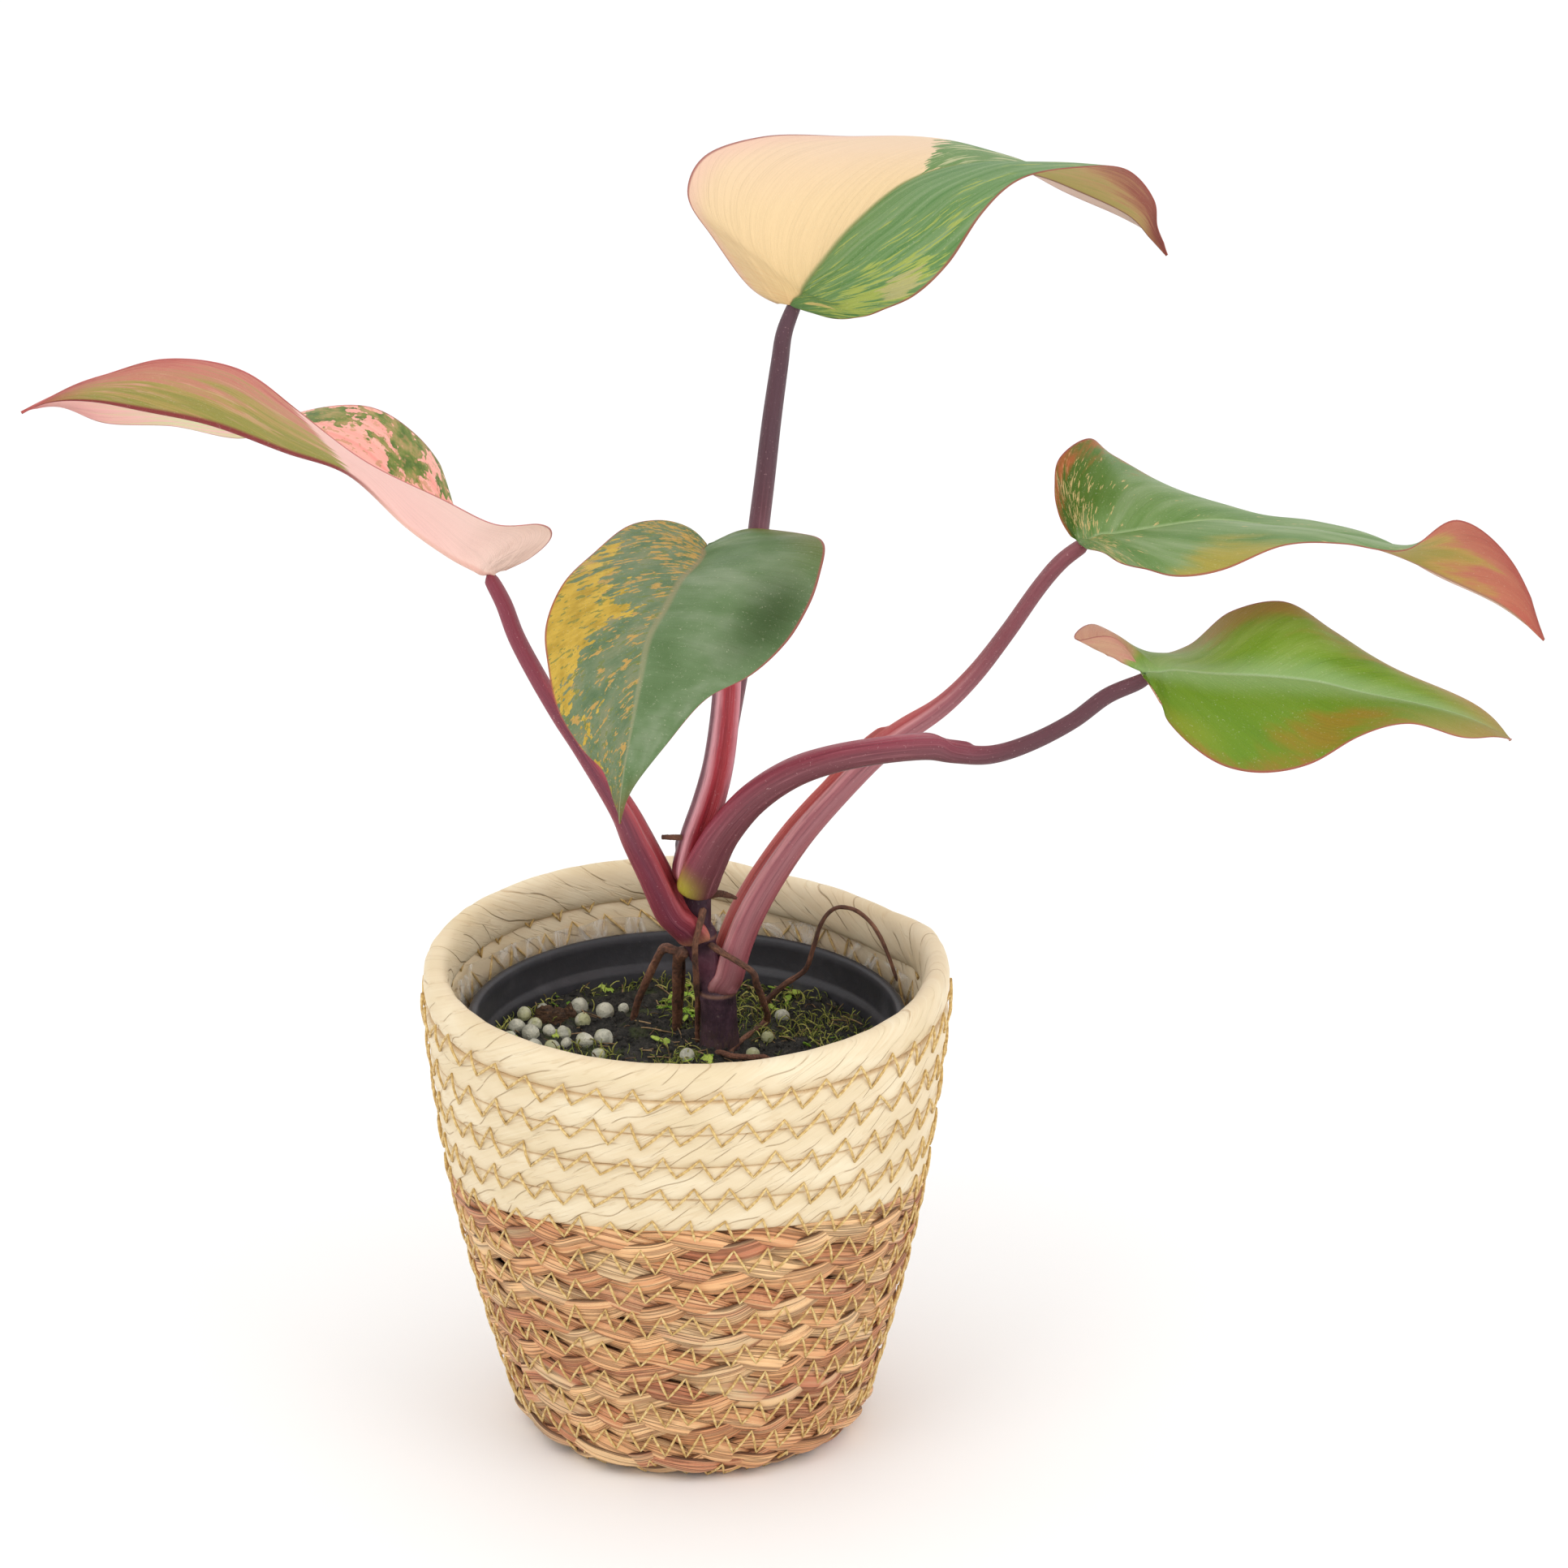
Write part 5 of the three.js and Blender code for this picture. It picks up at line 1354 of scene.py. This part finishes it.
def right_upper_faces(at, u, reach, left):
    green = at.cloud(12, 1.1, 3).ramp((0.3, 100, 136, 72), (0.5, 124, 152, 94), (0.72, 156, 174, 130))
    base_lobe = (1 - u.step(0.2, 0.5)) * left * reach.step(0.05, 0.4)
    green = green.toned(base_lobe * 0.9, 78, 106, 40)
    dashes = at.cloud(60, 7, 6) * 0.5 + at.cloud(150, 10, 2) * 0.5 + u.bell(0.2, 0.2) * 0.1
    flecks = (dashes - 0.615).step(0, 0.03)
    green = green.toned(flecks * 0.85, 218, 190, 132)
    rim = (reach * 0.9 + at.sway(30, 5, 8) * 0.9 - u * 0.5).step(0.5, 0.85)
    green = green.toned(rim * left * 0.85, 192, 108, 74)
    near_edge = (1 - left) * (reach * 0.8 + u.bell(0.5, 0.14) * 0.5 + at.sway(24, 3, 4) * 0.6)
    over = green.toned(near_edge.step(0.8, 1.2) * 0.85, 180, 162, 78)
    glow = reach.step(0.45, 0.95) * 0.42 + (u - 0.76) * 3.6 + at.sway(14, 2.5, 5) * 0.9
    glow = glow.ramp((0.1, 182, 166, 88), (0.3, 208, 170, 100), (0.46, 216, 136, 112), (0.9, 206, 110, 98))
    under = glow.toned((1 - u.step(0.7, 0.78)) * 0.85, 220, 156, 142)
    far_under = at.cloud(12, 2, 9).step(0.4, 0.6).blend(tint(232, 200, 178), tint(214, 178, 150))
    under = left.blend(under, far_under)
    return ribbed(reach, 0.035, over, under, (164, 186, 134), (186, 140, 114))


def right_lower_faces(at, u, reach, left):
    near = 1 - left
    green = at.cloud(14, 1.2, 3).ramp((0.3, 108, 146, 52), (0.5, 128, 162, 64), (0.7, 148, 174, 88))
    green = green.toned(near * 0.8, 108, 140, 44)
    bronze = (reach + at.sway(14, 2, 5) * 1.2).step(0.5, 1.05)
    green = green.toned(bronze * left * 0.85, 170, 142, 78)
    brown = (reach + at.sway(20, 3, 7) * 0.6).step(0.84, 1.1)
    green = green.toned(brown * near * 0.8, 166, 112, 60)
    amber = near * (reach.bell(0.7, 0.5) * u.bell(0.62, 0.22) + at.sway(24, 3, 8) * 1.3)
    green = green.toned(amber.step(0.2, 1.0) * 0.9, 152, 126, 40)
    yellow = near * reach.bell(0.8, 0.3) * u.bell(0.3, 0.16)
    green = green.toned(yellow * 0.5, 158, 158, 58)
    pale = (1 - (reach / 0.34).step(0, 1)) * (0.5 + 0.4 * at.cloud(8, 4, 2))
    over = green.toned(pale * 0.9, 156, 184, 128)
    over = over.toned((u + reach * 0.12).step(0.76, 1.0) * 0.75, 186, 152, 96)
    lobe = left * (1 - (u + (1 - reach) * 0.1).step(0.26, 0.34)) * reach.step(0.2, 0.36)
    over = lobe.blend(over, at.cloud(30, 3, 4).blend(tint(206, 140, 124), tint(222, 180, 144)))
    under = at.cloud(12, 1.6, 6).ramp((0.35, 214, 150, 134), (0.65, 214, 176, 140))
    return ribbed(reach, 0.03, over, under, (164, 188, 136), (190, 150, 120))


BLADE_SKINS = {
    "top": ("blade_cream_green", leaf_skin(top_faces, 0.65, 0.035, 0.84)),
    "left": ("blade_pink_olive", leaf_skin(left_faces, 0.6, 0.02, 1.0)),
    "front": ("blade_green_gold", leaf_skin(front_faces, 0.07, 0.035, 0.92)),
    "right_upper": ("blade_green_red", leaf_skin(right_upper_faces, 0.25, 0.035, 0.92)),
    "right_lower": ("blade_lime", leaf_skin(right_lower_faces, 0.25, 0.025, 0.9)),
}
for seed, (name, (slot, skin)) in enumerate(BLADE_SKINS.items()):
    blade = piece_of(f"blade_{name}", blade_mesh(f"blade_{name}", BLADES[name], seed),
                     surface(f"blade_{name}", skin, Specular_IOR_Level=0.3))
    fit(blade, slot, f"leaf_{name}")


# Aerial roots: dry, brown and kinked, they leave the stem's nodes and go down into the soil; one long dry
# tendril arches over to the pot's rim.
ROOTS = {
    "aerial_root_left": [
        (0.6, 5.6, 134.2, 1.1), (-3.4, 6, 135, 1.2), (-6, 7, 135.2, 1.4), (-7.8, 9, 132, 1.1),
        (-10.6, 14, 123.8, 1.15), (-13.2, 19, 115.6, 1), (-15.4, 24, 105.5, 1), (-16, 25.5, 100, 0.8),
    ],
    "aerial_root_middle": [
        (0.8, 5.6, 134.4, 1.5), (-1.6, 6.2, 134, 1.8), (-2.6, 9.6, 129.4, 1.4), (-2.9, 14, 120.5, 1.25),
        (-3.1, 20, 108, 1.2), (-3.2, 22, 100, 0.9),
    ],
    "aerial_root_thin": [
        (-1, 10.2, 131.4, 0.5), (-1, 13, 126, 0.6), (-1.4, 17, 119, 0.65), (-2, 22.5, 110, 0.6),
        (-2.2, 24.5, 103, 0.5),
    ],
    "aerial_root_front": [
        (4.7, -0.6, 150.4, 1.1), (3.9, -1.4, 146.6, 0.95), (2.5, -1.6, 140.4, 0.85),
        (2.4, 0, 134.6, 0.85), (2.6, 3, 127, 0.85), (2.9, 7, 119.6, 0.8), (2.8, 11, 111.5, 0.75),
        (2.7, 13, 102, 0.6),
    ],
    "aerial_root_right": [
        (6, 2.6, 138.4, 1), (10, 0, 136.6, 0.85), (17.6, -1, 131.8, 0.85), (19.2, 3, 125.8, 1),
        (21.4, 12, 115.6, 0.85), (21.8, 18, 109.4, 1), (19, 15, 107.6, 0.8), (16, 11.6, 106.9, 0.8),
        (12.4, 4, 106.4, 0.7), (11, 0.5, 102.6, 0.5),
    ],
    "dry_tendril": [
        (19, 36, 101, 0.8), (21.6, 34, 107.8, 0.85), (26.6, 32, 113.8, 0.8), (32.3, 31, 118.8, 0.75),
        (34.6, 30, 125.8, 0.65), (36.6, 30, 132.6, 0.6), (39.2, 29.4, 136.8, 0.6),
        (42.4, 28.6, 138.4, 0.6), (46.6, 27, 137.8, 0.6), (50.8, 24.6, 134.8, 0.6),
        (54, 22.4, 129.6, 0.55), (56.8, 20.2, 122.4, 0.5), (57.6, 19.6, 119.9, 0.4),
    ],
    "surface_root": [
        (6.4, 1, 102.4, 0.7), (8.4, 0.8, 106.8, 0.8), (12.6, -2.4, 107.2, 0.8), (17.4, -2.6, 107, 0.8),
        (21.8, -1.6, 106.4, 0.7), (24.4, -1, 102.6, 0.5),
    ],
    "root_stub_left": [
        (-6.6, -2, 171.4, 0.6), (-4, -1.6, 171.2, 0.75), (-0.6, -0.8, 170.8, 0.85), (2, 0, 170.4, 0.8),
    ],
    "root_stub_right": [
        (5, 5.2, 151, 0.9), (8.6, 4.2, 152.4, 1), (11.4, 3.8, 152, 0.8), (13.8, 3.6, 151.2, 0.4),
    ],
}


def dry_root(root):
    wrinkle = (root.attribute("along") * 34).vector(root.attribute("turn") * 1.4).noise(1.0, 4, 0.65)
    patchy = root.place().noise(130, 3)
    colour = (wrinkle * 0.5 + patchy * 0.6).ramp((0.35, 60, 46, 42), (0.5, 106, 74, 60),
                                              (0.62, 144, 98, 76), (0.78, 186, 136, 104))
    return coat(colour, 0.55 + 0.3 * wrinkle, wrinkle, 0.0012)


root_skin = surface("dry_root", dry_root, Specular_IOR_Level=0.4)
for seed, (name, path) in enumerate(ROOTS.items()):
    dry = limb_piece(f"{name}_bark", path, root_skin, (0.31, -1.0, 0.12), steps=110, sides=14,
                     wrinkle=0.55, wrinkle_length=9.0 + seed)
    fit(dry, "dry_root", name)


# Floor and light: a plain pale floor and soft daylight from all round, with a large soft lamp above and to
# the left of the camera.
FLOOR_SIDE = 12

half = FLOOR_SIDE / 2
floor_corners = [(-half, -half, 0), (half, -half, 0), (half, half, 0), (-half, half, 0)]
floor_mesh = bpy.data.meshes.new("floor")
floor_mesh.from_pydata(floor_corners, [], [(0, 1, 2, 3)])


def matt(root):
    return {"Roughness": 0.6 + 0.1 * root.place().noise(2)}


floor = piece_of("floor", floor_mesh, surface("floor", matt, Base_Color=(0.94, 0.94, 0.94, 1)))

world = bpy.data.worlds.new("studio")
world.use_nodes = True
world.node_tree.nodes["Background"].inputs["Color"].default_value = (1, 1, 1, 1)
world.node_tree.nodes["Background"].inputs["Strength"].default_value = 1.06
bpy.context.scene.world = world
bpy.context.scene.view_settings.view_transform = "Standard"


def lamp(name, place, aim, side, power):
    light = bpy.data.lights.new(name, "AREA")
    light.size = side
    light.energy = power
    holder = bpy.data.objects.new(name, light)
    holder.location = place
    holder.rotation_euler = (Vector(aim) - Vector(place)).to_track_quat("-Z", "Y").to_euler()
    bpy.context.collection.objects.link(holder)


lamp("key", (-0.9, -1.2, 1.9), (0.03, 0, 0.15), 1.0, 7)
lamp("fill", (1.3, -1.0, 1.1), (0.03, 0, 0.15), 1.2, 6)
